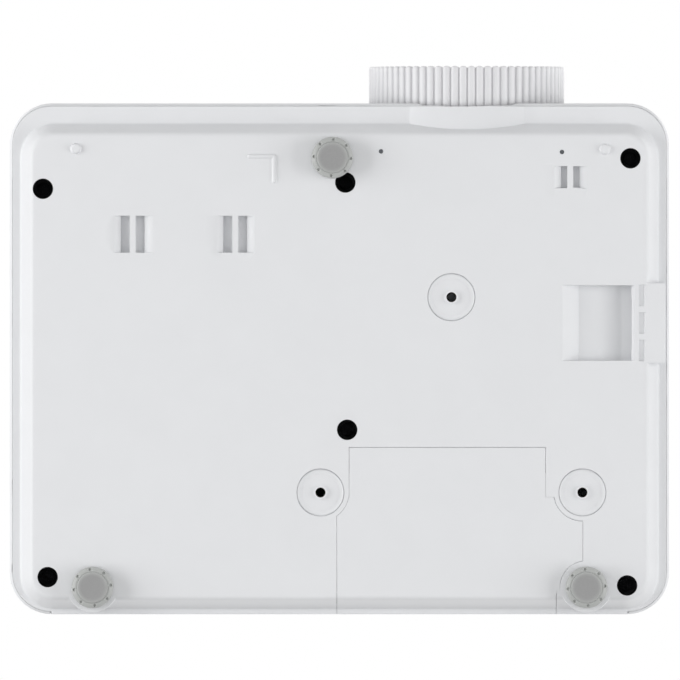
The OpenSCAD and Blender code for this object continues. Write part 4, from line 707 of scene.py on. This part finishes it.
# radii and lengths in mm: the dimples, the pad's hole, and the screw above the rim
FOOT_DIMPLE_R = 0.65
FOOT_DIMPLE_IN = 1.25
FOOT_PAD_HOLE = 7.48
STUD_R = 4.0
STUD_PITCH = 2.0
STUD_ABOVE = 18.6
STUD_DEPTH = 0.45
PAD_EDGE = 0.75


def screw_foot(side, finish):
    """Levelling foot: a screw, and a rim with a sloping face, in which small dimples lie on a
    circle. A dimple's depth falls off with the fourth power of the distance."""
    name = side + "_foot_knob"
    low, high = in_mm(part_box(name))
    centre, outer = axle(low, high, 2)
    rim_top = high[2] - STUD_ABOVE
    face = np.linspace(0, 1, 14)
    slope = np.stack([
        FOOT_PAD_HOLE + 0.3 + (outer - 0.35 - FOOT_PAD_HOLE - 0.3) * face,
        low[2] + 0.9 * face ** 1.6,
    ], -1)
    # radius and height of the rim's corners, from the middle of the pad's hole outwards
    rim = np.concatenate([
        [(0.01, low[2] + 2.5), (FOOT_PAD_HOLE, low[2] + 2.5), (FOOT_PAD_HOLE, low[2] + 0.15),
         (FOOT_PAD_HOLE + 0.1, low[2] + 0.02)],
        slope,
        [(outer - 0.1, low[2] + 1.15), (outer, low[2] + 1.5), (outer, rim_top - 0.6),
         (outer - 0.2, rim_top - 0.2), (outer - 0.6, rim_top), (STUD_R + 0.3, rim_top)],
    ])
    around = 288
    angle = circle(around)[:, None]
    radius = np.broadcast_to(rim[:, 0], (around, len(rim)))
    place = np.broadcast_to(rim[:, 1], (around, len(rim))).copy()
    turn = FOOT_TURN[side]
    nearest = np.round(angle / (2 * np.pi) * FOOT_DIMPLES - turn) + turn
    off = (angle - nearest * 2 * np.pi / FOOT_DIMPLES) * (outer - FOOT_DIMPLE_IN)
    away = np.hypot(off, radius - (outer - FOOT_DIMPLE_IN))
    on_face = (rim[:, 1] < low[2] + 1.2) & (rim[:, 0] > FOOT_PAD_HOLE)
    place += 1.1 * on_face * np.exp(-(away / FOOT_DIMPLE_R) ** 4)
    made = surface(name + "_rim", about(centre, (0, 0, 1), angle, radius * MM, place * MM),
                   (True, False), True, True)
    dressed(made, name, finish, 45)
    levels = np.arange(0, STUD_ABOVE + 0.1, STUD_PITCH / 8)
    taper = np.clip(levels - STUD_ABOVE + 1.2, 0, 2) * 0.5
    made = threaded(side + "_foot_screw", centre, (0, 0, 1), rim_top - 0.2, levels, 24,
                    STUD_R, STUD_PITCH, STUD_DEPTH, taper)
    rider(made, NODES[name]["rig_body"], finish, 60)


def rubber_pad(side, finish):
    """Rubber pad of a foot: a disc with a soft edge and a slight hollow in its middle. From
    0.7 of its radius outwards, the share of painted highlight on the soft edge grows from 0 to 1
    with the power of 1.5."""
    name = side + "_foot_pad"
    low, high = in_mm(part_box(name))
    centre, outer = axle(low, high, 2)
    samples = 96
    a = np.radians(np.linspace(0, 90, 7))
    profile = np.concatenate([
        [(0.01, low[2] + 0.25), (outer * 0.5, low[2] + 0.22), (outer * 0.72, low[2] + 0.08)],
        [(outer * share, low[2]) for share in (0.8, 0.84, 0.87)],
        np.stack([
            outer - PAD_EDGE + PAD_EDGE * np.sin(a), low[2] + PAD_EDGE * (1 - np.cos(a)),
        ], -1),
        [(outer, high[2] - 0.02), (outer - 0.1, high[2])],
    ])
    made = turned(name + "_soft", centre, (0, 0, 1), profile, samples)
    # share of painted highlight, which makes the pad lighter towards its rounded edge
    share = np.tile(np.clip((profile[:, 0] / outer - 0.7) / 0.3, 0, 1) ** 1.5, samples)
    made.data.attributes.new("painted_edge_highlight", "FLOAT", "POINT").data.foreach_set("value", share)
    dressed(made, name, finish, 60)


LENS_EDGE = 4.0
BAFFLE_STEPS = 6


def lens_glass(finish):
    """Front lens: its front and back faces are spheres, so the sag grows as r squared."""
    low, high = in_mm(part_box("front_lens"))
    centre, outer = axle(low, high, 1)
    r = np.linspace(0.02, outer - 0.15, 28)
    bulge = high[1] - low[1] - LENS_EDGE
    front = np.stack([r, low[1] + bulge * (r / outer) ** 2], -1)
    back = np.stack([r[::-1], high[1] - 0.2 - 0.6 * (1 - (r[::-1] / outer) ** 2)], -1)
    profile = np.concatenate([front, [(outer, low[1] + bulge + 0.2), (outer, high[1] - 0.3)], back])
    made = turned("front_lens_ground", centre, (0, 1, 0), profile, 128)
    dressed(made, "front_lens", finish, 30)


def inner_glass(finish, dark):
    """Second lens behind the first, with the stepped black baffle that holds it."""
    low, high = in_mm(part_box("lens_cell"))
    centre, radius = axle(low, high, 1)
    outer = radius - 2.7
    back = high[1]
    rings = []
    for k in range(BAFFLE_STEPS):
        r = outer - 3 - 1.2 * k
        rings += [(r + 1.2, back + 2 * k + 0.2), (r, back + 2 * k + 0.4), (r, back + 2 * k + 2.0)]
    inner = rings[-1][0]
    profile = rings + [(outer - 2.9, rings[-1][1]), (outer - 1.6, back + 0.2)]
    baffle = turned("lens_baffle", centre, (0, 1, 0), profile[::-1], closed=True)
    rider(baffle, "case", dark)
    r = np.linspace(0.02, inner, 20)
    y = back + 2 * BAFFLE_STEPS
    profile = np.concatenate([
        np.stack([r, y - 4 * (1 - (r / inner) ** 2)], -1),
        np.stack([r[::-1], y + 1 + 0 * r], -1),
    ])
    glass = turned("inner_lens", centre, (0, 1, 0), profile)
    rider(glass, "case", finish)


FAN_HUB = 15.0
FAN_BLADES = 7


def fan_wheel(finish):
    """Fan rotor: a domed hub, and blades whose chord turns from 52 degrees at the hub to 24 at
    the tip and bows by a twelfth of its length."""
    low, high = in_mm(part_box("fan_rotor"))
    centre, tip = axle(low, high, 0, low[0])
    length = high[0] - low[0]
    hub = rounded([(0.01, 0), (FAN_HUB, 0), (FAN_HUB, length), (0.01, length)], 1.2)
    made = turned("fan_rotor_hub", centre, (1, 0, 0), hub, 72)
    dressed(made, "fan_rotor", finish)
    span = np.linspace(FAN_HUB - 1, tip - 0.3, 14)[:, None]
    share = (span - FAN_HUB) / (tip - FAN_HUB)
    loop = circle(24)
    chord = (0.9 * length) * (1 + 0.15 * share)
    along = 0.5 * np.cos(loop) * chord
    thick = 0.75 * np.sin(loop) * (1.15 - 0.25 * np.cos(loop))
    bow = chord / 12 * (1 - (2 * along / chord) ** 2)
    pitch = np.radians(52 - 28 * share)
    axial = along * np.cos(pitch) - (thick + bow) * np.sin(pitch)
    around = along * np.sin(pitch) + (thick + bow) * np.cos(pitch)
    axial = np.clip(axial, -length / 2 + 0.3, length / 2 - 0.3)
    for k in range(FAN_BLADES):
        angle = 2 * np.pi * k / FAN_BLADES + around / span + 0.25 * share
        points = about(centre, (1, 0, 0), angle, span * MM, (axial + length / 2) * MM)
        blade = close_rows(surface(f"fan_blade_{k}", points, (False, True)))
        rider(blade, NODES["fan_rotor"]["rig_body"], finish)


def close_rows(obj):
    """Fills the open ends of a tube and turns its faces outwards."""
    form = bmesh.new()
    form.from_mesh(obj.data)
    bmesh.ops.holes_fill(form, edges=[e for e in form.edges if e.is_boundary])
    bmesh.ops.recalc_face_normals(form, faces=form.faces)
    if form.calc_volume(signed=True) < 0:
        bmesh.ops.reverse_faces(form, faces=form.faces)
    form.to_mesh(obj.data)
    form.free()
    return obj


LEAD_PITCH = 1.5
LEAD_DEPTH = 0.28


def screw_thread(finish):
    """Lead screw of the pickup, which lies at 45 degrees across the drive."""
    low, high = in_mm(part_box("lead_screw"))
    radius = (high[2] - low[2]) / 2
    way = np.array((high[0] - low[0], high[1] - low[1], 0.0))
    way = way - np.array((1.0, 1.0, 0.0)) * radius * math.sqrt(2)
    length = np.linalg.norm(way)
    along = way / length
    centre = (low + high) / 2 - along * length / 2
    levels = np.arange(0, length + 0.01, LEAD_PITCH / 8)
    made = threaded("lead_screw_thread", centre * MM, along, 0.0, levels, 20,
                    radius, LEAD_PITCH, LEAD_DEPTH)
    dressed(made, "lead_screw", finish, 60)


PHONO_COLOURS = (("left", "#F1F1EC"), ("right", "#B5292B"), ("video", "#E3BC3A"))
# in mm: the sleeve's radius, the pin hole's radius and depth, and the collar's recess
PHONO_R = 4.4
PHONO_PIN = 1.65
PHONO_DEEP = 7
PHONO_STEP = 0.8


def phono_sets(metal):
    """Phono sockets: each is a turned sleeve with a bored pin hole and a foot on the board, and
    a coloured collar lies sunk in its end."""
    low, high = in_mm(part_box("phono_sockets"))
    radius, depth = PHONO_R, high[1] - low[1]
    first, last = low[0] + radius, high[0] - radius
    for k, (name, colour) in enumerate(PHONO_COLOURS):
        x = first + (last - first) * k / 2
        centre = np.array((x, high[1], high[2] - radius)) * MM
        sleeve = rounded([
            (0.01, -depth), (radius, -depth), (radius, 0), (radius - 0.7, 0),
            (radius - 0.7, -PHONO_STEP), (PHONO_PIN, -PHONO_STEP), (PHONO_PIN, -PHONO_DEEP),
            (0.01, -PHONO_DEEP),
        ], 0.25)
        made = turned("phono_sleeve_" + name, centre, (0, 1, 0), sleeve, 72)
        if k == 0:
            dressed(made, "phono_sockets", metal)
        else:
            rider(made, "case", metal)
        collar = rounded([
            (radius - 0.8, -0.9), (radius - 0.8, -0.1), (PHONO_PIN + 0.15, -0.1),
            (PHONO_PIN + 0.15, -0.9), (radius - 0.8, -0.9),
        ], 0.3)[:-1]
        made = turned("phono_collar_" + name, centre, (0, 1, 0), collar, 72, closed=True)
        rider(made, "case", smooth_abs("Dyed ABS " + name, colour))
        made = soft_box("phono_foot_" + name, (x - radius + 0.5, low[1] + 0.2, low[2]),
                        (x + radius - 0.5, low[1] + 7, centre[2] / MM - 2), 0.6)
        rider(made, "case", metal)


def soft_box(name, low, high, edge):
    """Block whose plan is a superellipse-cornered rectangle and whose ends are drawn in by
    quarter arcs of radius edge."""
    low, high = np.array(low, float), np.array(high, float)
    half = (high - low) / 2
    mid = (high + low) / 2
    a = circle(48)
    cos, sin = np.cos(a), np.sin(a)
    reach = (np.abs(cos) ** 12 + np.abs(sin) ** 12) ** (-1 / 12)
    unit = np.stack([cos * reach, sin * reach], -1)
    t = np.radians(np.linspace(0, 90, 5))
    inset = np.concatenate([edge * (1 - np.sin(t)), edge * (1 - np.sin(t[::-1]))])
    level = np.concatenate([low[2] + edge * (1 - np.cos(t)), high[2] - edge * (1 - np.cos(t[::-1]))])
    plan = unit[:, None, :] * (half[:2] - inset[:, None])[None] + mid[:2]
    place = np.broadcast_to(level, plan.shape[:2])[..., None]
    return surface(name, np.concatenate([plan, place], -1) * MM, (True, False), True, True)


# each signal socket's middle along X, and its hollow's width and height, in mm
SOCKETS = {
    "video": (-112.0, 29.4, 11.0), "digital": (-82.0, 14.4, 5.4), "service": (-60.0, 10.4, 10.4),
}
SOCKET_FLOOR = 9.0
# height of each row of pin holes and how far it is shifted, then their pitch, radius and depth
PIN_ROWS = ((-2.4, 0.0), (0.0, 1.1), (2.4, 0.0))
PIN_PITCH = 2.3
PIN_R = 0.62
PIN_DEPTH = 1.8


def socket_inserts(dark):
    """Insulators in the signal sockets. The wide one fills its hollow with a face in which
    holes in three rows are dimples of a height field; the others are tongues."""
    high = np.array(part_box("port_shells")[1]) / MM
    z = np.array(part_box("phono_sockets")[1])[2] / MM - PHONO_R
    floor = high[1] - SOCKET_FLOOR
    x, w, h = SOCKETS["video"]
    u, v = np.meshgrid(np.linspace(-1, 1, 141), np.linspace(-1, 1, 57), indexing="ij")
    narrow = 1 - 0.07 * (1 - v)
    px = u * (w / 2 - 1.6) * narrow
    pz = v * (h / 2 - 1.0)
    depth = np.zeros_like(px)
    for row, shift in PIN_ROWS:
        for k in range(5):
            away = np.hypot(px - ((k - 2) * PIN_PITCH * 2 + shift), pz - row)
            depth += PIN_DEPTH * np.exp(-(away / PIN_R) ** 6)
    rim = np.maximum(np.abs(u), np.abs(v)) > 0.999
    y = high[1] - 2.2 - depth
    y = np.where(rim, floor, y)
    made = surface("video_insulator", np.stack([x + px, y, z + pz], -1) * MM)
    close_rows(made)
    rider(made, "case", smooth_abs("Dyed nylon, video", "#1E3F7A"), 30)
    for name, thick in (("digital", 1.8), ("service", 4.6)):
        x, w, h = SOCKETS[name]
        made = soft_box(name + "_tongue", (x - w * 0.36, floor - 0.1, z - thick / 2),
                        (x + w * 0.36, high[1] - 2.0, z + thick / 2), 0.4)
        rider(made, "case", dark)


# mm by which a mark stands above its key
MARK_RISE = 0.12


def key_marks(finish):
    """Raised marks on the keys: a triangle on each arrow key that points away from the middle,
    an open ring with a bar on the power key, and bars on the two side keys."""
    for turn, side in enumerate(("right", "up", "left", "down")):
        x, y, top = key_top(side + "_button")
        a = turn * np.pi / 2 + np.radians((0, 125, 235))
        key_mark(side, np.stack([x + 1.5 * np.cos(a), y + 1.5 * np.sin(a)], -1), top, finish)
    x, y, top = key_top("power_button")
    a = np.radians(np.linspace(125, 415, 40))
    arc = np.stack([np.cos(a), np.sin(a)], -1)
    key_mark("power_ring", (x, y) + np.concatenate([2.2 * arc, 1.8 * arc[::-1]]), top, finish)
    bar = np.array([(-0.22, 0.4), (0.22, 0.4), (0.22, 2.6), (-0.22, 2.6)])
    key_mark("power_bar", (x, y) + bar, top, finish)
    for side, count in (("menu", 3), ("source", 2)):
        x, y, top = key_top(side + "_button")
        for k in range(count):
            row = (k - (count - 1) / 2) * 0.9
            bar = np.array([(-1.5, row - 0.15), (1.5, row - 0.15), (1.5, row + 0.15),
                            (-1.5, row + 0.15)])
            key_mark(f"{side}_bar_{k}", (x, y) + bar, top, finish)


def key_top(name):
    """Middle of a key's top in mm: from the corners of its top face."""
    top = in_mm(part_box(name))[1][2]
    spots = corners_mm(name)
    spots = spots[spots[:, 2] > top - SAME_LEVEL]
    return (*((spots.min(0) + spots.max(0)) / 2)[:2], top)


def key_mark(name, outline, top, finish):
    """Raised mark: an outline carried up from the key, with its top drawn in a little."""
    outline = np.asarray(outline, float)
    middle = outline.mean(0)
    draw = np.array((1.0, 1.0, 0.98))
    grid = middle + (outline - middle)[:, None, :] * draw[None, :, None]
    place = np.broadcast_to(top - MARK_RISE + np.array((-0.05, 0.09, 0.11)), grid.shape[:2])
    made = surface(name + "_mark", np.concatenate([grid, place[..., None]], -1) * MM,
                   (True, False), True, True)
    close_rows(made)
    part = name.split("_")[0] + "_button"
    rider(made, NODES[part]["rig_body"], finish)


# -------------------- operators


def colours():
    return bpy.context.scene.projector_colours


def sizes():
    return bpy.context.scene.projector_sizes


class PROJECTOR_OT_case(bpy.types.Operator):
    """Finish the shells, the lamp door, the grilles and the rear panel"""

    bl_idname = "projector.case"
    bl_label = "Case"

    def execute(self, context):
        shell = spark_eroded_abs("Spark-eroded white ABS", colours().shell)
        trim = spark_eroded_abs("Spark-eroded grey ABS", colours().trim)
        for name, beside in (
            ("lower_case", "upper_case"), ("lamp_door", "lower_case"), ("upper_case", None),
        ):
            press = flat_level(name) if name == "lower_case" else None
            softened(name, shell, sizes().edge, beside=beside, press=press)
        underside_relief(shell)
        for name in NODES:
            if name.endswith(("_panel", "_grille")):
                softened(name, trim)
        # nearly black, with a deep red cast
        lay("ir_window", skinned("Dyed polycarbonate", "#0B0506", 0.08, skin=(3, 0.002)))
        return {"FINISHED"}


class PROJECTOR_OT_lens(bpy.types.Operator):
    """Make the ribbed focus ring, the lenses and their baffle; finish the barrel and its rings"""

    bl_idname = "projector.lens"
    bl_label = "Lens"

    def execute(self, context):
        ribbed_ring(smooth_abs("Polished white ABS", colours().ring))
        glass = coated_glass("Coated glass")
        dark = black_nylon("Black nylon, lens", colours().dark)
        lens_glass(glass)
        inner_glass(glass, dark)
        for name in ("lens_barrel", "lens_cell", "zoom_ring"):
            softened(name, dark)
        return {"FINISHED"}


class PROJECTOR_OT_feet(bpy.types.Operator):
    """Make the three levelling feet with their screws and rubber pads"""

    bl_idname = "projector.feet"
    bl_label = "Feet"

    def execute(self, context):
        foot = smooth_abs("Grey nylon", colours().foot, 0.45)
        pad = moulded_rubber("Moulded rubber", colours().pad, colours().foot)
        for side in ("front", "left", "right"):
            screw_foot(side, foot)
            rubber_pad(side, pad)
        return {"FINISHED"}


class PROJECTOR_OT_drive(bpy.types.Operator):
    """Finish the disc drive: its case, tray, front, rails and pickup"""

    bl_idname = "projector.drive"
    bl_label = "Disc drive"

    def execute(self, context):
        zinc = zinc_plate("Zinc-plated steel, drive")
        dark = black_nylon("Black nylon, drive", "#202124")
        trim = smooth_abs("Polished grey ABS, drive", colours().trim)
        screw_thread(zinc)
        softened("disc_tray", dark)
        softened("tray_bezel", smooth_abs("Polished white ABS, drive", colours().ring),
                 sizes().edge)
        softened("eject_button", trim, sizes().edge, cell=40)
        for name in ("spindle_hub", "pickup_sled"):
            softened(name, dark)
        for name in ("drive_case", "drive_cover", "tray_rails", "guide_rods"):
            softened(name, zinc)
        return {"FINISHED"}


class PROJECTOR_OT_cooling(bpy.types.Operator):
    """Make the fan rotor; finish the fan frame, lamp and loudspeaker"""

    bl_idname = "projector.cooling"
    bl_label = "Fan and lamp"

    def execute(self, context):
        dark = black_nylon("Black nylon, fan", "#1B1C1E")
        fan_wheel(dark)
        softened("fan_frame", dark)
        lay("speaker", dark)
        lay("lamp_housing", dark)
        lay("lamp_reflector", skinned("Aluminised reflector", "#E6E8EA", 0.06,
                                      skin=(4, 0.003), metallic=1.0))
        return {"FINISHED"}


class PROJECTOR_OT_sockets(bpy.types.Operator):
    """Make the phono sockets and the insulators; finish the other sockets"""

    bl_idname = "projector.sockets"
    bl_label = "Sockets"

    def execute(self, context):
        phono_sets(turned_brass("Turned brass, sockets"))
        socket_inserts(black_nylon("Black nylon, sockets", colours().dark))
        zinc = zinc_plate("Nickel-plated steel", "#C6C4BE")
        lay("port_shells", zinc)
        lay("ac_pins", zinc)
        softened("ac_inlet", black_nylon("Black nylon, inlet", colours().dark))
        return {"FINISHED"}


class PROJECTOR_OT_keys(bpy.types.Operator):
    """Finish the keys and set the raised marks on them"""

    bl_idname = "projector.keys"
    bl_label = "Keys"

    def execute(self, context):
        finish = smooth_abs("Polished grey ABS, keys", colours().trim)
        ink = smooth_abs("Grey pad print", "#5A5E63", 0.5)
        for name in NODES:
            if name.endswith("_button") and name != "eject_button":
                softened(name, finish, sizes().edge, sink=MARK_RISE * MM)
        key_marks(ink)
        return {"FINISHED"}


class PROJECTOR_OT_inside(bpy.types.Operator):
    """Finish the engine, boards and frame inside the case, and the screws and inserts"""

    bl_idname = "projector.inside"
    bl_label = "Inside"

    def execute(self, context):
        board = printed_board("Glass-epoxy board", "#1F6B45")
        cast = skinned("Die-cast aluminium", "#A9ABAE", 0.5, skin=(1.0, 0.012),
                       wander=(0.9, 1.08, 3), metallic=1.0)
        dark = black_nylon("Black nylon, frame", "#232427")
        table = {
            "optical_engine": cast, "chip_heatsink": cast, "chip_board": board,
            "main_board": board, "keypad_board": board,
            "power_board": printed_board("Paper-phenolic board", "#8A6A3C"),
            "color_wheel": coated_glass("Dichroic glass"), "color_wheel_motor": dark,
            "chassis_frame": dark,
        }
        for name, finish in table.items():
            lay(name, finish)
        lay("case_screws", skinned("Black-oxide steel", "#1B1B1D", 0.38,
                                   skin=(0.3, 0.004), metallic=0.9))
        lay("small_screws", zinc_plate("Zinc-plated screws", "#77797C"))
        lay("mount_inserts", turned_brass("Blackened brass", "#2C2822"))
        lay("foot_nuts", zinc_plate("Zinc-plated steel"))
        return {"FINISHED"}


class PROJECTOR_OT_stage(bpy.types.Operator):
    """Floor, soft lamps, white world and the camera below the object"""

    bl_idname = "projector.stage"
    bl_label = "Studio"

    def execute(self, context):
        stage_floor()
        stage_lamps()
        stage_world()
        stage_camera()
        bpy.context.scene.view_settings.view_transform = "Standard"
        return {"FINISHED"}


FLOOR_RADIUS = 1.6
# name, place in metres, width in metres, power in watts
LAMPS = (
    ("lamp below left", (-1.5, -0.1, -0.7), 1.2, 18),
    ("lamp below right", (1.5, 0.1, -0.7), 1.2, 14),
    ("lamp below", (0.0, 0.0, -2.0), 1.6, 4),
    ("lamp in front", (0.3, -1.7, 0.5), 1.2, 2.5),
    ("lamp above left", (-1.2, -1.0, 1.5), 1.2, 6.5),
    ("lamp above right", (1.3, -0.6, 1.3), 1.2, 6),
    ("lamp behind", (0.2, 1.5, 1.2), 1.2, 6),
)
# places the photo's middle on the picture's
CAMERA_X = 0.25 * MM
CAMERA_Y = 0.0


def stage_floor():
    """Round floor that fades out towards its rim. It isn't seen from below, and it neither
    blocks light nor throws any back."""
    r, a = np.meshgrid(np.linspace(0.02, FLOOR_RADIUS, 24), circle(96))
    points = np.stack([r * np.cos(a), -r * np.sin(a), np.full_like(r, -0.05 * MM)], -1)
    floor = surface("floor", points, wrap=(True, False), close_start=True)
    made = bpy.data.materials.new("Pale studio floor")
    tree = bare_tree(made)
    matt = add(tree, "BsdfDiffuse", {"Color": linear("#F2F3F4")})
    clear = add(tree, "BsdfTransparent")
    place = add(tree, "TexCoord").outputs["Object"]
    far = add(tree, "VectorMath", {0: place}, operation="LENGTH").outputs["Value"]
    fade = add(tree, "MapRange", {"Value": far, "From Min": 0.35, "From Max": 1.5},
               interpolation_type="SMOOTHSTEP").outputs["Result"]
    ray = add(tree, "LightPath").outputs
    back = add(tree, "NewGeometry").outputs["Backfacing"]
    unseen = either(tree, ray["Is Shadow Ray"], ray["Is Diffuse Ray"], back, fade)
    mix = add(tree, "MixShader", {
        0: unseen, 1: matt.outputs["BSDF"], 2: clear.outputs["BSDF"],
    })
    add(tree, "OutputMaterial", {"Surface": mix.outputs["Shader"]})
    floor.data.materials.append(made)
    floor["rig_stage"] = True


def stage_lamps():
    """Large soft lamps: a pair at the two sides below, and a set above for the other views."""
    aim = (CAD_LOW + CAD_HIGH) / 2
    for name, place, width, power in LAMPS:
        data = bpy.data.lights.new(name, "AREA")
        data.size = width
        data.energy = power
        lamp = placed(name, data)
        lamp.location = place
        way = np.array(place) - aim
        lamp.rotation_euler = Vector(way).to_track_quat("Z", "Y").to_euler()


def stage_world():
    """White behind the object and in gloss and glass; a plain soft level as light."""
    world = bpy.data.worlds.new("white studio")
    bpy.context.scene.world = world
    tree = bare_tree(world)
    ray = add(tree, "LightPath").outputs
    seen = either(tree, ray["Is Camera Ray"], ray["Is Glossy Ray"], ray["Is Transmission Ray"])
    level = add(tree, "MapRange", {"Value": seen, "To Min": 0.45, "To Max": 1.0})
    back = add(tree, "Background", {
        "Color": (1, 1, 1, 1), "Strength": level.outputs["Result"],
    })
    add(tree, "OutputWorld", {"Surface": back.outputs["Background"]})


def stage_camera():
    """Camera straight below, looking up, with the front at the top of the picture."""
    data = bpy.data.cameras.new("camera")
    distance = sizes().camera_distance
    data.sensor_width = 36.0
    data.lens = data.sensor_width * distance / sizes().frame_width
    data.clip_end = 100.0
    camera = placed("camera", data)
    edge_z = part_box("upper_case")[0][2]
    camera.location = (CAMERA_X, CAMERA_Y, edge_z - distance)
    camera.rotation_euler = (math.pi, 0, 0)
    bpy.context.scene.camera = camera


class PROJECTOR_PT_panel(bpy.types.Panel):
    """Sidebar list of the pieces that can be made"""

    bl_label = "Disc projector"
    bl_idname = "PROJECTOR_PT_panel"
    bl_space_type = "VIEW_3D"
    bl_region_type = "UI"
    bl_category = "Projector"

    def draw(self, context):
        for group in (context.scene.projector_colours, context.scene.projector_sizes):
            for field in group.bl_rna.properties:
                if field.identifier not in ("rna_type", "name"):
                    self.layout.prop(group, field.identifier)
        for operator in OPERATORS:
            self.layout.operator(operator.bl_idname)


OPERATORS = (
    PROJECTOR_OT_case, PROJECTOR_OT_lens, PROJECTOR_OT_feet, PROJECTOR_OT_drive,
    PROJECTOR_OT_cooling, PROJECTOR_OT_sockets, PROJECTOR_OT_keys, PROJECTOR_OT_inside,
    PROJECTOR_OT_stage,
)
CLASSES = (ProjectorColours, ProjectorSizes, *OPERATORS, PROJECTOR_PT_panel)


def register():
    for cls in CLASSES:
        bpy.utils.register_class(cls)
    bpy.types.Scene.projector_colours = bpy.props.PointerProperty(type=ProjectorColours)
    bpy.types.Scene.projector_sizes = bpy.props.PointerProperty(type=ProjectorSizes)


def unregister():
    del bpy.types.Scene.projector_sizes
    del bpy.types.Scene.projector_colours
    for cls in reversed(CLASSES):
        bpy.utils.unregister_class(cls)


def main():
    register()
    bpy.ops.projector.case()
    bpy.ops.projector.lens()
    bpy.ops.projector.feet()
    bpy.ops.projector.drive()
    bpy.ops.projector.cooling()
    bpy.ops.projector.sockets()
    bpy.ops.projector.keys()
    bpy.ops.projector.inside()
    bpy.ops.projector.stage()


if __name__ == "__main__":
    main()
